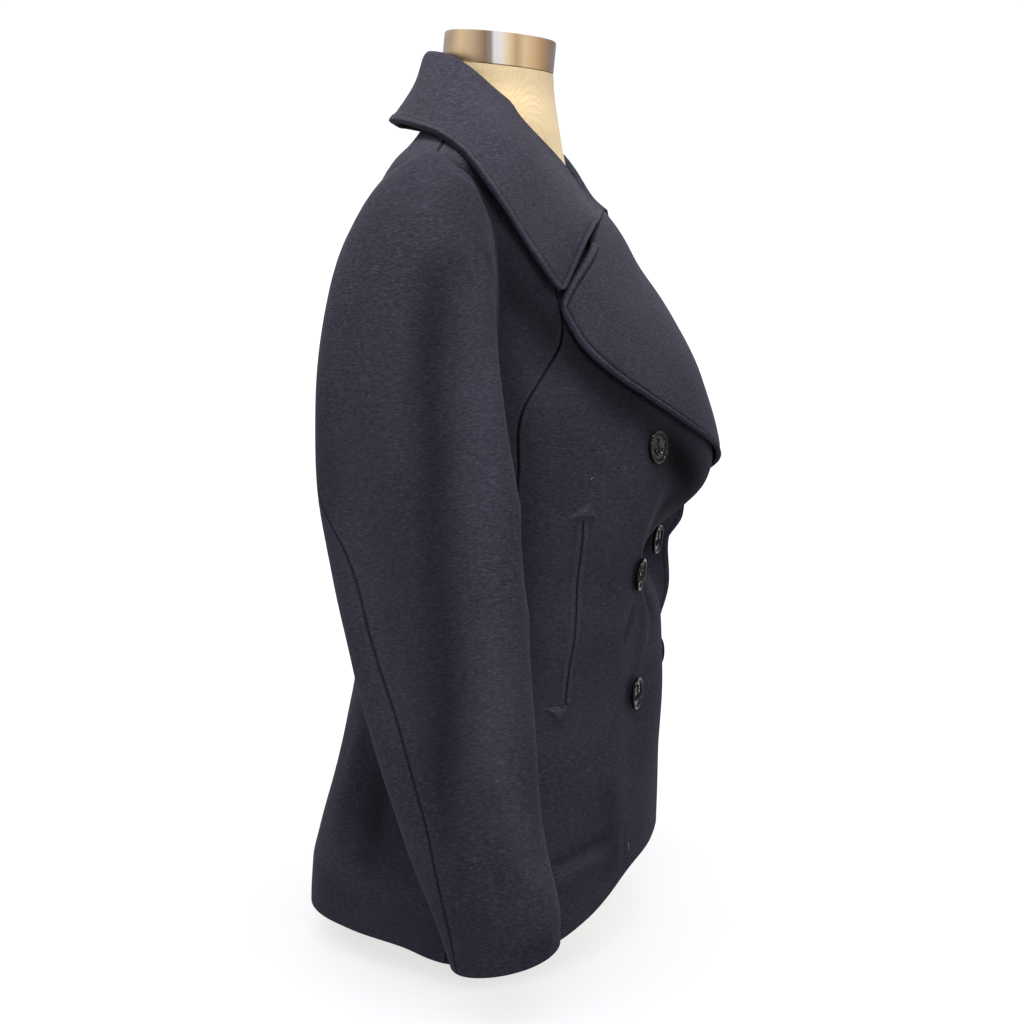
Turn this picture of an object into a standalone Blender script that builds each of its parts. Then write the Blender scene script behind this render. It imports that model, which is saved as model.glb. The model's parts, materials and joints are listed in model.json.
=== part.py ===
"""Pea coat on a limbless dress form.

Frame: metres, +Z up.  The floor is z = 0 and the origin is the middle of the
form's flat base.  The wearer faces -Y and has the left arm at +X.  Tables and
named sizes are in centimetres; "f" is a distance forward, along -Y.
The right front laps over the left one, and the top row is left unbuttoned,
so the right lapel rolls from a break point on the wearer's left.
"""
import math

import bmesh
import bpy
import numpy as np
from mathutils import Matrix, Vector

CM = 0.01            # metres in a centimetre
WALL = 0.30          # melton wall
COLLAR_WALL = 0.34   # collar and lapels, cloth on cloth
GAP = 0.03           # between neighbours, at seams and where one lies on another
QUARTER = math.pi / 2.0
QUARTER_LENGTH = 27.5  # of a body section, from the centre front to the side


class Table:
    """Rows of named columns; a smooth curve runs through the rows."""

    def __init__(self, names, rows):
        self.names = names.split()
        data = np.array(rows, float)
        self.key = data[:, 0]
        self.columns = {n: data[:, i] for i, n in enumerate(self.names)}
        self.slopes = {n: np.gradient(c, self.key) for n, c in self.columns.items() if n != self.names[0]}

    def at(self, key, name):
        key = np.asarray(key, float)
        i = np.clip(np.searchsorted(self.key, key, side="right") - 1, 0, len(self.key) - 2)
        step = self.key[i + 1] - self.key[i]
        w = np.clip((key - self.key[i]) / step, 0.0, 1.0)
        v, m = self.columns[name], self.slopes[name]
        return ((2 * w**3 - 3 * w**2 + 1) * v[i] + (w**3 - 2 * w**2 + w) * step * m[i]
                + (3 * w**2 - 2 * w**3) * v[i + 1] + (w**3 - w**2) * step * m[i + 1])


def smooth(x):
    x = np.clip(x, 0.0, 1.0)
    return x * x * (3.0 - 2.0 * x)


# ---------------------------------------------------------------- coat body
# One horizontal section per row: half width at the side line, depth in front,
# depth behind, and how far forward the side line lies.
BODY = Table("z half front back side round", [
    (0.0, 22.7, 15.0, 16.6, -0.4, 1.65),
    (6.0, 22.3, 15.1, 15.7, -0.4, 1.75),
    (14.0, 21.3, 15.3, 13.5, -0.4, 1.95),
    (22.0, 20.0, 15.5, 11.5, -0.4, 2.2),
    (27.0, 19.3, 15.4, 10.5, -0.4, 2.35),
    (32.0, 18.7, 14.7, 10.2, -0.4, 2.4),
    (37.0, 18.5, 16.1, 10.3, -0.5, 2.4),
    (42.0, 18.5, 17.0, 10.8, -0.7, 2.4),
    (47.0, 18.7, 16.3, 11.3, -0.9, 2.4),
    (52.0, 18.8, 14.2, 11.5, -1.0, 2.4),
    (57.0, 18.9, 11.5, 11.2, -1.1, 2.4),
    (61.0, 18.9, 9.55, 10.2, -1.2, 2.4),
    (64.0, 18.9, 7.4, 8.7, -1.4, 2.4),
    (66.6, 18.7, 4.9, 6.7, -1.6, 2.4),
    (67.5, 16.4, 4.3, 6.1, -1.4, 2.3),
    (68.5, 13.4, 4.0, 5.8, -1.0, 2.2),
    (69.5, 10.4, 4.2, 5.5, -0.4, 2.1),
    (70.7, 7.7, 4.7, 5.2, 0.2, 2.0),
])
NECK_Z = 70.7        # neckline at the back and the shoulder's end
TIP_Z = 66.6         # shoulder tip, the top of the armhole
UNDERARM_Z = 46.6
HEM_Z = 2.0
HEM_FADE_Z = 30.0    # above this height the hem's rise no longer bends the rows

# Hem height round the body: u is 0 at the centre front, 1 at the side, 2 at the back.
HEM = Table("u z", [
    (0.0, 7.4), (0.3, 6.5), (0.5, 3.9), (0.7, 2.3), (0.85, 2.0), (1.0, 2.0), (1.3, 2.5), (1.6, 2.6),
    (2.0, 2.5)])

# Armhole: u of its front and back edge at each height.
ARMHOLE = Table("z front back", [
    (46.6, 1.0, 1.0), (47.2, 0.935, 1.09), (50.0, 0.869, 1.24), (55.0, 0.805, 1.33),
    (59.0, 0.775, 1.36), (62.5, 0.768, 1.33), (65.0, 0.83, 1.23), (66.6, 1.0, 1.0)])

# Seam between the front and the side front, from the hem to the shoulder;
# its last piece, above the table, runs straight to the shoulder seam.
FRONT_SEAM_TOP_Z = 68.4
STEEP_SEAM_Z = 59.0
FRONT_SEAM = Table("z u", [
    (0.0, 0.77), (20.0, 0.79), (35.0, 0.80), (41.0, 0.799), (46.9, 0.76), (49.4, 0.68), (51.9, 0.595),
    (56.0, 0.55), (60.0, 0.57), (64.0, 0.66), (67.5, 0.84)])

# Front edge above the break: the roll line, then the neckline seam of the collar.
EDGE_X = 10.8        # free front edge past the centre
BREAK_Z = 38.0
GORGE_Z = 61.6       # where collar and lapel meet at the roll line
ROLL = Table("z x", [
    (38.0, 10.0), (41.0, 8.6), (45.0, 6.8), (49.0, 4.9), (53.0, 2.95), (56.0, 1.5), (59.2, 0.0),
    (61.6, -2.0), (63.5, -3.8), (66.0, -5.4), (68.0, -6.4), (70.7, -7.2)])

# How far the unbuttoned right front stands off, fully at SWING_X and beyond.
SWING = Table("z lift", [
    (32.4, 0.0), (34.0, 0.7), (36.3, 2.0), (39.0, 3.1), (41.2, 3.3), (43.0, 2.8), (45.6, 2.3),
    (48.4, 2.0), (51.0, 1.7), (54.0, 1.3), (56.6, 0.9), (59.2, 0.55), (61.6, 0.15), (64.0, 0.0)])
SWING_START_X = -9.0
SWING_X = 6.0
FLIP = Table("z lift", [
    (20.0, 0.0), (24.0, 1.4), (28.0, 2.8), (32.0, 3.5), (34.2, 3.6), (36.6, 2.5), (39.6, 0.0)])
FLIP_START_X = 5.0    # from here the free edge bends forward, between the buttoned rows
FLIP_END_X = 10.8
FLIP_POWER = 2.6
UNDERLAP_DROP = 1.10  # the left front lies this much deeper where the right one covers it
UNDERLAP_FROM_X = 18.0
UNDERLAP_FULL_X = 9.0
UNDERLAP_TOP_Z = 64.5

# Large soft folds of the body: middle, half width, height range and depth;
# side 1 is on the wearer's right, -1 on the left and 0 on both.
FOLDS = [
    # u,    width, z_low, z_high, depth, side
    (0.40, 0.16, 21.0, 45.0, 1.20, 1),
    (0.27, 0.11, 6.0, 33.0, -0.75, 1),
    (0.42, 0.14, 18.0, 44.0, 0.40, -1),
    (0.60, 0.14, 20.0, 42.0, 0.45, 1),
    (1.22, 0.13, -12.0, 24.0, -0.90, 0),
    (1.58, 0.13, -12.0, 26.0, 1.20, 0),
    (1.86, 0.09, -8.0, 20.0, -0.40, 0),
    (0.93, 0.09, -8.0, 16.0, 0.35, 0),
    (-0.07, 0.27, 27.0, 39.5, -1.30, 1),
    (0.70, 0.05, 46.0, 60.0, -0.35, 0),
]


def swing(x, z):
    rise = np.where((z > SWING.key[0]) & (z < SWING.key[-1]), SWING.at(z, "lift"), 0.0)
    return rise * smooth((x - SWING_START_X) / (SWING_X - SWING_START_X))


def fold(u, z):
    total = 0.0
    for middle, width, low, high, depth, side in FOLDS:
        along = np.clip((z - low) / (high - low), 0.0, 1.0)
        place = u * side if side else np.abs(u)
        total = total + depth * np.exp(-((place - middle) / width) ** 2) * np.sin(math.pi * along) ** 2
    return total


def body_point(u, z):
    half, front, back, side, bend = (BODY.at(z, n) for n in ("half", "front", "back", "side", "round"))
    turn = np.abs(u) * QUARTER
    ahead = np.minimum(turn, QUARTER)
    behind = np.clip(turn - QUARTER, 0.0, QUARTER)
    power = 2.0 / bend
    wide = np.where(turn <= QUARTER, np.sin(ahead), np.clip(np.cos(behind), 0.0, 1.0) ** power)
    deep = np.where(turn <= QUARTER, side + (front - side) * np.cos(ahead),
                    side - (back + side) * np.sin(behind) ** power)
    return np.stack([-np.sign(u) * half * wide, -deep, z + 0.0 * u], axis=-1)


def normal_of(surface, a, b, step_a, step_b):
    """Unit normal of surface(a, b) from central differences."""
    across = surface(a + step_a, b) - surface(a - step_a, b)
    along = surface(a, b + step_b) - surface(a, b - step_b)
    n = np.cross(along, across)
    return n / np.linalg.norm(n, axis=-1, keepdims=True)


def body(u, z, out=0.0):
    """The coat's surface, moved out by `out`; u > 0 is the wearer's right."""
    u, z = np.broadcast_arrays(np.asarray(u, float), np.asarray(z, float))
    normal = normal_of(body_point, u, z, 0.004, 0.15)
    return body_point(u, z) + normal * (out + fold(u, z))[..., None]


def u_at(x, z):
    """Where a section has this x, on the front half."""
    return -np.arcsin(np.clip(np.asarray(x) / BODY.at(z, "half"), -1.0, 1.0)) / QUARTER


def front_over(u, z, out=0.0):
    x = -BODY.at(z, "half") * np.sin(np.asarray(u) * QUARTER)
    past = np.clip((x - FLIP_START_X) / (FLIP_END_X - FLIP_START_X), 0.0, None)
    flip = FLIP.at(z, "lift") * past**FLIP_POWER
    return body(u, z, out + swing(x, z)) + np.stack([0.0 * flip, -flip, 0.0 * flip], axis=-1)


def front_under(u, z, out=0.0):
    """u < 0 on the wearer's left, where this front belongs."""
    x = -BODY.at(z, "half") * np.sin(np.asarray(u) * QUARTER)
    covered = smooth((UNDERLAP_FROM_X - x) / (UNDERLAP_FROM_X - UNDERLAP_FULL_X))
    covered = covered * smooth((UNDERLAP_TOP_Z - z) / 4.0)
    return body(u, z, out - UNDERLAP_DROP * covered)


def seam_gap(z):
    """Half of the seam gap, as a step in u."""
    quarter_length = (BODY.at(z, "half") + BODY.at(z, "front")) / 2.0 * QUARTER
    return GAP / 2.0 / quarter_length


def front_seam_gap(z):
    """Wider where the seam runs steeply across the sections."""
    return seam_gap(z) * (1.0 + smooth((z - STEEP_SEAM_Z) / 5.0))


def hem_height(u, z):
    """Rows near the hem follow its rise to the front."""
    rise = HEM.at(np.abs(u), "z") - HEM_Z
    return z + rise * np.clip((HEM_FADE_Z - z) / (HEM_FADE_Z - HEM_Z), 0.0, 1.0)


# ---------------------------------------------------------------- mesh making
coat = bpy.data.collections.new("pea_coat")


def clear_scene():
    for item in list(bpy.data.objects):
        bpy.data.objects.remove(item, do_unlink=True)
    bpy.context.scene.collection.children.link(coat)


def material(name, colour, roughness, metallic=0.0):
    m = bpy.data.materials.new(name)
    m.use_nodes = True
    shader = m.node_tree.nodes["Principled BSDF"]
    shader.inputs["Base Color"].default_value = (*colour, 1.0)
    shader.inputs["Roughness"].default_value = roughness
    shader.inputs["Metallic"].default_value = metallic
    return m


def add_object(name, mesh, finish):
    piece = bpy.data.objects.new(name, mesh)
    mesh.materials.append(finish)
    coat.objects.link(piece)
    return piece


def grid_faces(rows, columns, start, flip):
    faces = []
    for r in range(rows - 1):
        for c in range(columns - 1):
            a = start + r * columns + c
            quad = (a, a + 1, a + columns + 1, a + columns)
            faces.append(quad[::-1] if flip else quad)
    return faces


def add_wall(name, outer, inner, finish):
    """A closed sheet of cloth between two grids of points, in centimetres."""
    rows, columns = outer.shape[:2]
    count = rows * columns
    points = np.concatenate([outer.reshape(-1, 3), inner.reshape(-1, 3)]) * CM
    faces = grid_faces(rows, columns, 0, False) + grid_faces(rows, columns, count, True)
    rim = [c for c in range(columns)]
    rim += [r * columns + columns - 1 for r in range(1, rows)]
    rim += [(rows - 1) * columns + c for c in range(columns - 2, -1, -1)]
    rim += [r * columns for r in range(rows - 2, 0, -1)]
    for a, b in zip(rim, rim[1:] + rim[:1]):
        faces.append((b, a, a + count, b + count))
    mesh = bpy.data.meshes.new(name)
    mesh.from_pydata([tuple(p) for p in points], [], faces)
    make_faces_point_out(mesh)
    mesh.shade_smooth()
    mesh.set_sharp_from_angle(angle=math.radians(50))
    return add_object(name, mesh, finish)


def make_faces_point_out(mesh):
    b = bmesh.new()
    b.from_mesh(mesh)
    bmesh.ops.recalc_face_normals(b, faces=b.faces)
    if b.calc_volume(signed=True) < 0.0:
        bmesh.ops.reverse_faces(b, faces=b.faces)
    b.to_mesh(mesh)
    b.free()


def panel(name, surface, edges, heights, columns, finish):
    """A body panel; edges(z) gives its two borders in u for each row."""
    heights = np.asarray(heights, float)
    first, last = edges(heights)
    share = np.linspace(0.0, 1.0, columns)[None, :]
    u = first[:, None] * (1.0 - share) + last[:, None] * share
    z = hem_height(u, heights[:, None] + 0.0 * u)
    return add_wall(name, surface(u, z), surface(u, z, -WALL), finish)


# ---------------------------------------------------------------- body panels
LOW_ROWS = [2, 8.5, 15, 21, 26, 30, 33, 35.5, 38, 41, 44]
ARMHOLE_ROWS = [46.6, 47.2, 48.6, 51, 54, 57, 59.5, 61.6, 64, 65.4, 66.3, 66.6]
TOP_ROWS = [67.5, 68.4, 69.6, 70.7]


def front_edge_x(z):
    return np.where(z < BREAK_Z, EDGE_X - 0.8 * smooth((z - 34.0) / (BREAK_Z - 34.0)), ROLL.at(z, "x"))


def front_seam_u(z):
    low_z, low_u = FRONT_SEAM.key[-1], FRONT_SEAM.columns["u"][-1]
    share = np.clip((z - low_z) / (FRONT_SEAM_TOP_Z - low_z), 0.0, 1.0)
    return np.where(z < low_z, FRONT_SEAM.at(z, "u"), low_u + (1.0 - low_u) * share)


def front_borders(z):
    return u_at(front_edge_x(z), z) + seam_gap(z), front_seam_u(z) - front_seam_gap(z)


def side_borders(z):
    armhole = np.where((z > UNDERARM_Z) & (z < TIP_Z), ARMHOLE.at(z, "front"), 1.0)
    return front_seam_u(z) + front_seam_gap(z), armhole - seam_gap(z)


def back_borders(z):
    armhole = np.where((z > UNDERARM_Z) & (z < TIP_Z), ARMHOLE.at(z, "back"), 1.0)
    return armhole + seam_gap(z), 2.0 - seam_gap(z)


def mirrored(borders):
    def left_borders(z):
        first, last = borders(z)
        return -first, -last
    return left_borders


def build_body(cloth):
    rows = LOW_ROWS + ARMHOLE_ROWS + TOP_ROWS
    side_rows = LOW_ROWS + ARMHOLE_ROWS + [TOP_ROWS[0], FRONT_SEAM_TOP_Z - 3.0 * GAP]
    panel("front_right", front_over, front_borders, rows, 12, cloth)
    panel("front_left", front_under, mirrored(front_borders), rows, 12, cloth)
    panel("side_right", front_over, side_borders, side_rows, 5, cloth)
    panel("side_left", front_under, mirrored(side_borders), side_rows, 5, cloth)
    panel("back_right", body, back_borders, rows, 8, cloth)
    panel("back_left", body, mirrored(back_borders), rows, 8, cloth)


# ---------------------------------------------------------------- sleeves
# Rings of the right sleeve below the armhole: height, forward and sideways
# place of the middle, half length front to back, half thickness, forward tilt
# and how much lower the outer side lies.
SLEEVE = Table("z f x long thick tilt drop", [
    (4.7, 5.05, 26.9, 4.10, 4.3, 12.5, 0.1),
    (7.0, 4.70, 26.9, 4.45, 4.4, 12.0, 0.1),
    (12.0, 3.15, 26.6, 4.80, 4.5, 11.0, 0.0),
    (19.0, 1.40, 26.0, 5.75, 4.6, 9.5, 0.0),
    (26.0, 0.13, 25.4, 6.50, 4.7, 8.0, 0.0),
    (33.0, -1.08, 24.9, 7.10, 4.8, 7.0, 0.0),
    (40.0, -2.12, 24.4, 7.38, 4.8, 6.0, 0.0),
    (46.0, -2.80, 23.9, 7.20, 4.7, 5.0, 0.0),
])
CAP_Z = 42.5          # lowest ring of the cap, where the straight tube starts
CUFF_Z = SLEEVE.key[0]
CUFF_LENGTH = 16.0    # round the cuff
SLEEVE_GAP = 0.06     # between the sleeve and the armhole's edge
CAP_SHARE = 0.42      # share of the sleeve's length parameter spent on the cap
SLEEVE_ROWS = [0.0, 0.035, 0.08, 0.15, 0.24, 0.34, 0.42, 0.52, 0.62, 0.72, 0.81, 0.89, 0.95, 1.0]
FORE_SEAM_Z = 51.0    # where the inner front seam starts on the armhole
HIND_SEAM_Z = 59.5    # where the back seam starts on the armhole
HIND_SEAM = Table("t turn", [
    (0.0, 0.8012), (0.30, 0.785), (0.42, 0.780), (0.50, 0.866), (0.60, 0.888), (0.66, 0.898), (0.72, 0.913),
    (0.78, 0.922), (0.83, 0.923), (0.88, 0.908), (0.94, 0.882), (1.0, 0.855)])
# Long soft hollow down the outside of the arm and the ridges beside it.
SLEEVE_FOLDS = [
    # turn, width, t_low, t_high, depth
    (0.00, 0.035, 0.05, 1.05, -0.55),
    (0.09, 0.040, 0.00, 0.85, 0.25),
    (-0.09, 0.045, 0.10, 0.95, 0.30),
]


def tube(turn, z):
    """Ring point of the straight part: turn 0 is outside, 0.25 in front."""
    a = turn * 2.0 * math.pi
    tilt = np.radians(SLEEVE.at(z, "tilt"))
    ahead = SLEEVE.at(z, "long") * np.sin(a)
    x = SLEEVE.at(z, "x") + SLEEVE.at(z, "thick") * np.cos(a)
    rise = ahead * np.sin(tilt) - SLEEVE.at(z, "drop") * np.cos(a)
    return np.stack([-x, -(SLEEVE.at(z, "f") + ahead * np.cos(tilt)), z + rise], axis=-1)


def armhole_point(turn):
    """The armhole's edge on the body, from the tip round the front."""
    turn = np.mod(turn, 1.0)
    drop = (1.0 - np.cos(2.0 * math.pi * turn)) / 2.0
    z = TIP_Z - (TIP_Z - UNDERARM_Z) * drop
    ahead = turn <= 0.5
    u = np.where(ahead, ARMHOLE.at(z, "front") + seam_gap(z), ARMHOLE.at(z, "back") - seam_gap(z))
    return body(u, z)


def sleeve_point(turn, t):
    turn, t = np.broadcast_arrays(np.asarray(turn, float), np.asarray(t, float))
    cap = np.clip(t / CAP_SHARE, 0.0, 1.0)
    low = CAP_Z + 0.0 * t
    end = tube(turn, low)
    up = tube(turn, low + 0.5) - tube(turn, low - 0.5)
    up = up / np.linalg.norm(up, axis=-1, keepdims=True)
    top = (1.0 + np.cos(2.0 * math.pi * turn)) / 2.0
    swing_f = np.sin(2.0 * math.pi * turn)
    ahead = np.where(swing_f > 0.0, -0.05, 0.70) * swing_f
    way = np.stack([-0.93 + 0.0 * turn, -ahead, 0.10 * np.cos(2.0 * math.pi * turn)], axis=-1)
    start = armhole_point(turn) + way * SLEEVE_GAP
    reach_out = (1.0 + 4.2 * top + 1.1 * np.clip(-swing_f, 0.0, 1.0))[..., None]
    reach_up = (2.2 + 9.8 * top)[..., None]
    p1, p2 = start + way * reach_out, end + up * reach_up
    c = cap[..., None]
    curve = ((1 - c) ** 3 * start + 3 * (1 - c) ** 2 * c * p1 + 3 * (1 - c) * c**2 * p2 + c**3 * end)
    down = np.clip((t - CAP_SHARE) / (1.0 - CAP_SHARE), 0.0, 1.0)
    ring = tube(turn, CAP_Z - (CAP_Z - CUFF_Z) * down)
    return np.where((t <= CAP_SHARE)[..., None], curve, ring)


def sleeve_fold(turn, t):
    near = np.mod(turn + 0.5, 1.0) - 0.5
    total = 0.0
    for middle, width, low, high, depth in SLEEVE_FOLDS:
        along = np.clip((t - low) / (high - low), 0.0, 1.0)
        total = total + depth * np.exp(-((near - middle) / width) ** 2) * np.sin(math.pi * along) ** 2
    return total


def sleeve(turn, t, out=0.0):
    turn, t = np.broadcast_arrays(np.asarray(turn, float), np.asarray(t, float))
    edge = 0.004
    t_in = np.clip(t, edge, 1.0 - edge)
    normal = -normal_of(sleeve_point, turn, t_in, 0.002, 0.002)
    return sleeve_point(turn, t) + normal * (out + sleeve_fold(turn, t))[..., None]


def armhole_turn(z):
    """Turn of the armhole's front edge at this height."""
    return np.arccos(np.clip(1.0 - 2.0 * (TIP_Z - z) / (TIP_Z - UNDERARM_Z), -1.0, 1.0)) / (2.0 * math.pi)


def build_sleeves(cloth):
    t = np.array(SLEEVE_ROWS)[:, None]
    hind = HIND_SEAM.at(t, "turn")
    fore = float(armhole_turn(FORE_SEAM_Z))
    gap = GAP / 2.0 / CUFF_LENGTH
    turns = armhole_turn(np.array(ARMHOLE_ROWS[::-1]))
    around = np.concatenate([turns, 1.0 - turns[-2::-1]])
    start = 1.0 - float(armhole_turn(HIND_SEAM_Z))
    top = np.concatenate([around[around > start - 1e-6][:-1] - 1.0, around[around < fore + 1e-6]])
    under = around[(around > fore - 1e-6) & (around < start + 1e-6)]
    spans = {"top": (hind - 1.0 + gap, fore - gap, top), "under": (fore + gap, hind - gap, under)}
    for part, (first, last, places) in spans.items():
        share = ((places - places[0]) / (places[-1] - places[0]))[None, :]
        turn = first * (1.0 - share) + last * share
        rows = t + 0.0 * turn
        outer, inner = sleeve(turn, rows), sleeve(turn, rows, -WALL)
        for side, flip in (("right", 1.0), ("left", -1.0)):
            way = np.array([flip, 1.0, 1.0])
            add_wall("sleeve_%s_%s" % (part, side), outer * way, inner * way, cloth)


# ---------------------------------------------------------------- collar
# Sections from the centre back (t = 0) to the gorge (t = 1), right side:
# neck seam n, top of the roll r, middle of the fall m, outer edge e.
COLLAR = Table("t nx nf nz rx rf rz mx mf mz ex ef ez", [
    (0.00, 0.0, -5.3, 70.95, 0.0, -4.85, 75.7, 0.0, -6.0, 72.9, 0.0, -7.7, 69.9),
    (0.15, 3.2, -4.8, 70.95, 3.3, -4.4, 75.6, 4.6, -5.6, 72.8, 5.2, -7.2, 69.9),
    (0.30, 5.75, -3.2, 70.95, 5.3, -2.6, 75.0, 8.5, -3.8, 72.3, 10.6, -5.0, 69.4),
    (0.45, 7.05, -0.9, 71.0, 6.4, -0.6, 73.7, 11.3, -1.1, 71.3, 15.6, -1.9, 68.2),
    (0.60, 6.95, 1.6, 71.0, 6.5, 1.7, 71.6, 12.8, 1.9, 69.4, 18.5, 0.9, 66.2),
    (0.72, 6.55, 3.4, 69.5, 6.0, 4.1, 69.1, 12.7, 4.3, 66.9, 19.2, 3.0, 63.6),
    (0.84, 5.6, 4.7, 66.9, 4.5, 6.6, 66.3, 11.8, 6.8, 63.7, 17.7, 5.2, 59.9),
    (0.93, 4.0, 7.3, 64.2, 3.1, 8.5, 63.6, 11.2, 8.6, 61.4, 16.6, 6.9, 57.2),
    (1.00, 2.1, 9.2, 62.2, 1.8, 9.9, 62.3, 10.4, 9.6, 60.0, 15.4, 8.0, 55.5),
])
COLLAR_ROLL = 0.45    # half thickness of the rolled top
COLLAR_STATIONS = 12  # on each side of the centre back
COLLAR_ACROSS = [0.0, 0.5, 1.0, 1.5, 2.0, 2.5, 3.0, 3.5, 4.0, 4.5, 5.0]


def collar_knots(t):
    side = np.where(t < 0.0, 1.0, -1.0)
    at = {k: COLLAR.at(np.abs(t), k) for k in COLLAR.names[1:]}
    n, r, m, e = (np.stack([side * at[k + "x"], -at[k + "f"], at[k + "z"]], axis=-1) for k in "nrme")
    fall, stand = m - r, n - r
    fall /= np.linalg.norm(fall, axis=-1, keepdims=True)
    stand /= np.linalg.norm(stand, axis=-1, keepdims=True)
    out = fall - stand
    out /= np.linalg.norm(out, axis=-1, keepdims=True)
    down = fall + stand
    down /= np.linalg.norm(down, axis=-1, keepdims=True)
    first = r + (down - out) * COLLAR_ROLL
    second = r + (down + out) * COLLAR_ROLL
    return [n, first, r, second, m, e]


def collar_point(across, t):
    """across runs 0 at the neck seam, 2 on the roll, 4 mid fall, 5 at the edge."""
    knots = collar_knots(t)
    slopes = [knots[1] - knots[0]]
    slopes += [(b - a) / 2.0 for a, b in zip(knots[:-2], knots[2:])]
    slopes += [knots[-1] - knots[-2]]
    result = np.zeros(knots[0].shape)
    for i in range(len(knots) - 1):
        w = (across - i)[..., None]
        inside = (w >= 0.0) & (w <= 1.0) if i == 0 else (w > 0.0) & (w <= 1.0)
        w = np.clip(w, 0.0, 1.0)
        piece = ((2 * w**3 - 3 * w**2 + 1) * knots[i] + (w**3 - 2 * w**2 + w) * slopes[i]
                 + (3 * w**2 - 2 * w**3) * knots[i + 1] + (w**3 - w**2) * slopes[i + 1])
        result = np.where(inside, piece, result)
    return result


def collar(across, t, out=0.0):
    edge = 0.01
    a_in = np.clip(across, edge, 5.0 - edge)
    t_in = np.clip(t, -1.0 + edge, 1.0 - edge)
    normal = normal_of(collar_point, a_in, t_in, 0.008, 0.008)
    return collar_point(across, t) + normal * out


def build_collar(cloth):
    t = np.linspace(-1.0, 1.0, 2 * COLLAR_STATIONS + 1)[None, :]
    across = np.array(COLLAR_ACROSS)[:, None]
    across, t = np.broadcast_arrays(across, t)
    add_wall("collar", collar(across, t), collar(across, t, -COLLAR_WALL), cloth)


# ---------------------------------------------------------------- lapels
# Outer edge of the lapel, from the peak (t = 0) to the break point (t = 1).
LAPEL = Table("t x z", [
    (0.00, -15.1, 53.8), (0.15, -14.1, 51.0), (0.35, -11.6, 48.3), (0.55, -7.4, 45.9),
    (0.75, -1.6, 43.1), (0.90, 4.6, 40.6), (1.00, 9.4, 38.3)])
# Rise of the gorge and the top edge over a straight line to the peak.
GORGE = Table("share rise", [
    (0.0, 0.0), (0.3, 1.1), (0.4, 1.2), (0.5, 1.05), (0.68, 0.95), (0.85, 0.6), (1.0, 0.0)])
LAPEL_HEIGHT = 0.90   # height of the roll over the front
LAPEL_EDGE = 0.75     # height of the outer edge's face over the front
UNDER_HEIGHT = 0.56   # the left lapel's height where the right front covers it
ROLL_DEPTH = 0.55     # how far the roll turns past the roll line
LAPEL_ROWS = 12
ROLL_STEPS = 5
FLAP_STEPS = 7


def lapel_grid(surface, side, height, edge_height):
    """Outer and inner points; side 1 is the right lapel, -1 the left one."""
    t = np.linspace(0.0, 1.0, LAPEL_ROWS)[:, None]
    roll_z = GORGE_Z + (BREAK_Z - GORGE_Z) * t - GAP * (1.0 - t)
    edge_z = LAPEL.at(t, "z")
    roll_u, edge_u = u_at(ROLL.at(roll_z, "x"), roll_z), u_at(LAPEL.at(t, "x"), edge_z)
    width = np.hypot((edge_u - roll_u) * QUARTER_LENGTH, edge_z - roll_z)
    low = COLLAR_WALL + 5.0 * GAP
    tall = low + (height(t) - low) * smooth((1.02 - t) / 0.25)
    rim = low + (edge_height(t) - low) * smooth((1.02 - t) / 0.25)

    def side_of(shrink, wall_low):
        turn = np.linspace(-QUARTER, QUARTER, ROLL_STEPS)[None, :]
        high = tall - shrink
        middle, radius = (high + wall_low) / 2.0, (high - wall_low) / 2.0
        arc_d = -(ROLL_DEPTH - shrink) * np.cos(turn) - 2.0 * GAP + 0.0 * t
        arc_h = middle + radius * np.sin(turn)
        s = np.linspace(0.0, 1.0, FLAP_STEPS)[None, 1:]
        flap_d = s * width
        flap_h = high + (rim - tall) * smooth(s * 1.1)
        d, h = np.hstack([arc_d, flap_d]), np.hstack([arc_h, flap_h])
        share = d / width
        bend = GORGE.at(share, "rise") * np.clip(1.0 - t / 0.6, 0.0, None) ** 2
        u = roll_u + (edge_u - roll_u) * share
        z = roll_z + (edge_z - roll_z) * share + bend
        return surface(side * u, z, h)

    return side_of(0.0, -WALL), side_of(COLLAR_WALL, GAP)


def build_lapels(cloth):
    outer, inner = lapel_grid(front_over, 1.0, lambda t: LAPEL_HEIGHT, lambda t: LAPEL_EDGE)
    add_wall("lapel_right", outer, inner, cloth)

    def lofted(full):
        return lambda t: UNDER_HEIGHT + (full - UNDER_HEIGHT) * smooth((0.6 - t) / 0.3)

    outer, inner = lapel_grid(front_under, -1.0, lofted(LAPEL_HEIGHT), lofted(LAPEL_EDGE))
    add_wall("lapel_left", outer, inner, cloth)


# ---------------------------------------------------------------- dress form
# Torso under the coat, and the neck that grows out of it.
FORM = Table("z half front back", [
    (0.0, 13.0, 8.6, 9.4),
    (1.2, 14.4, 9.6, 10.3),
    (8.0, 16.6, 10.8, 10.6),
    (16.0, 16.2, 10.4, 10.0),
    (26.0, 13.4, 9.2, 8.4),
    (33.0, 12.4, 8.8, 8.0),
    (40.0, 13.4, 10.4, 8.8),
    (48.0, 15.0, 12.2, 9.8),
    (55.0, 16.2, 10.0, 10.0),
    (60.0, 17.2, 7.6, 9.2),
    (63.6, 17.4, 5.8, 7.8),
    (65.4, 17.4, 4.7, 6.4),
    (66.4, 16.3, 4.1, 5.8),
    (67.4, 13.9, 3.4, 5.2),
    (68.4, 11.0, 3.0, 4.7),
    (69.4, 8.6, 2.9, 4.4),
    (70.2, 6.6, 2.9, 4.1),
    (71.0, 4.8, 2.8, 3.6),
    (74.7, 4.0, 2.6, 3.2),
])
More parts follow.
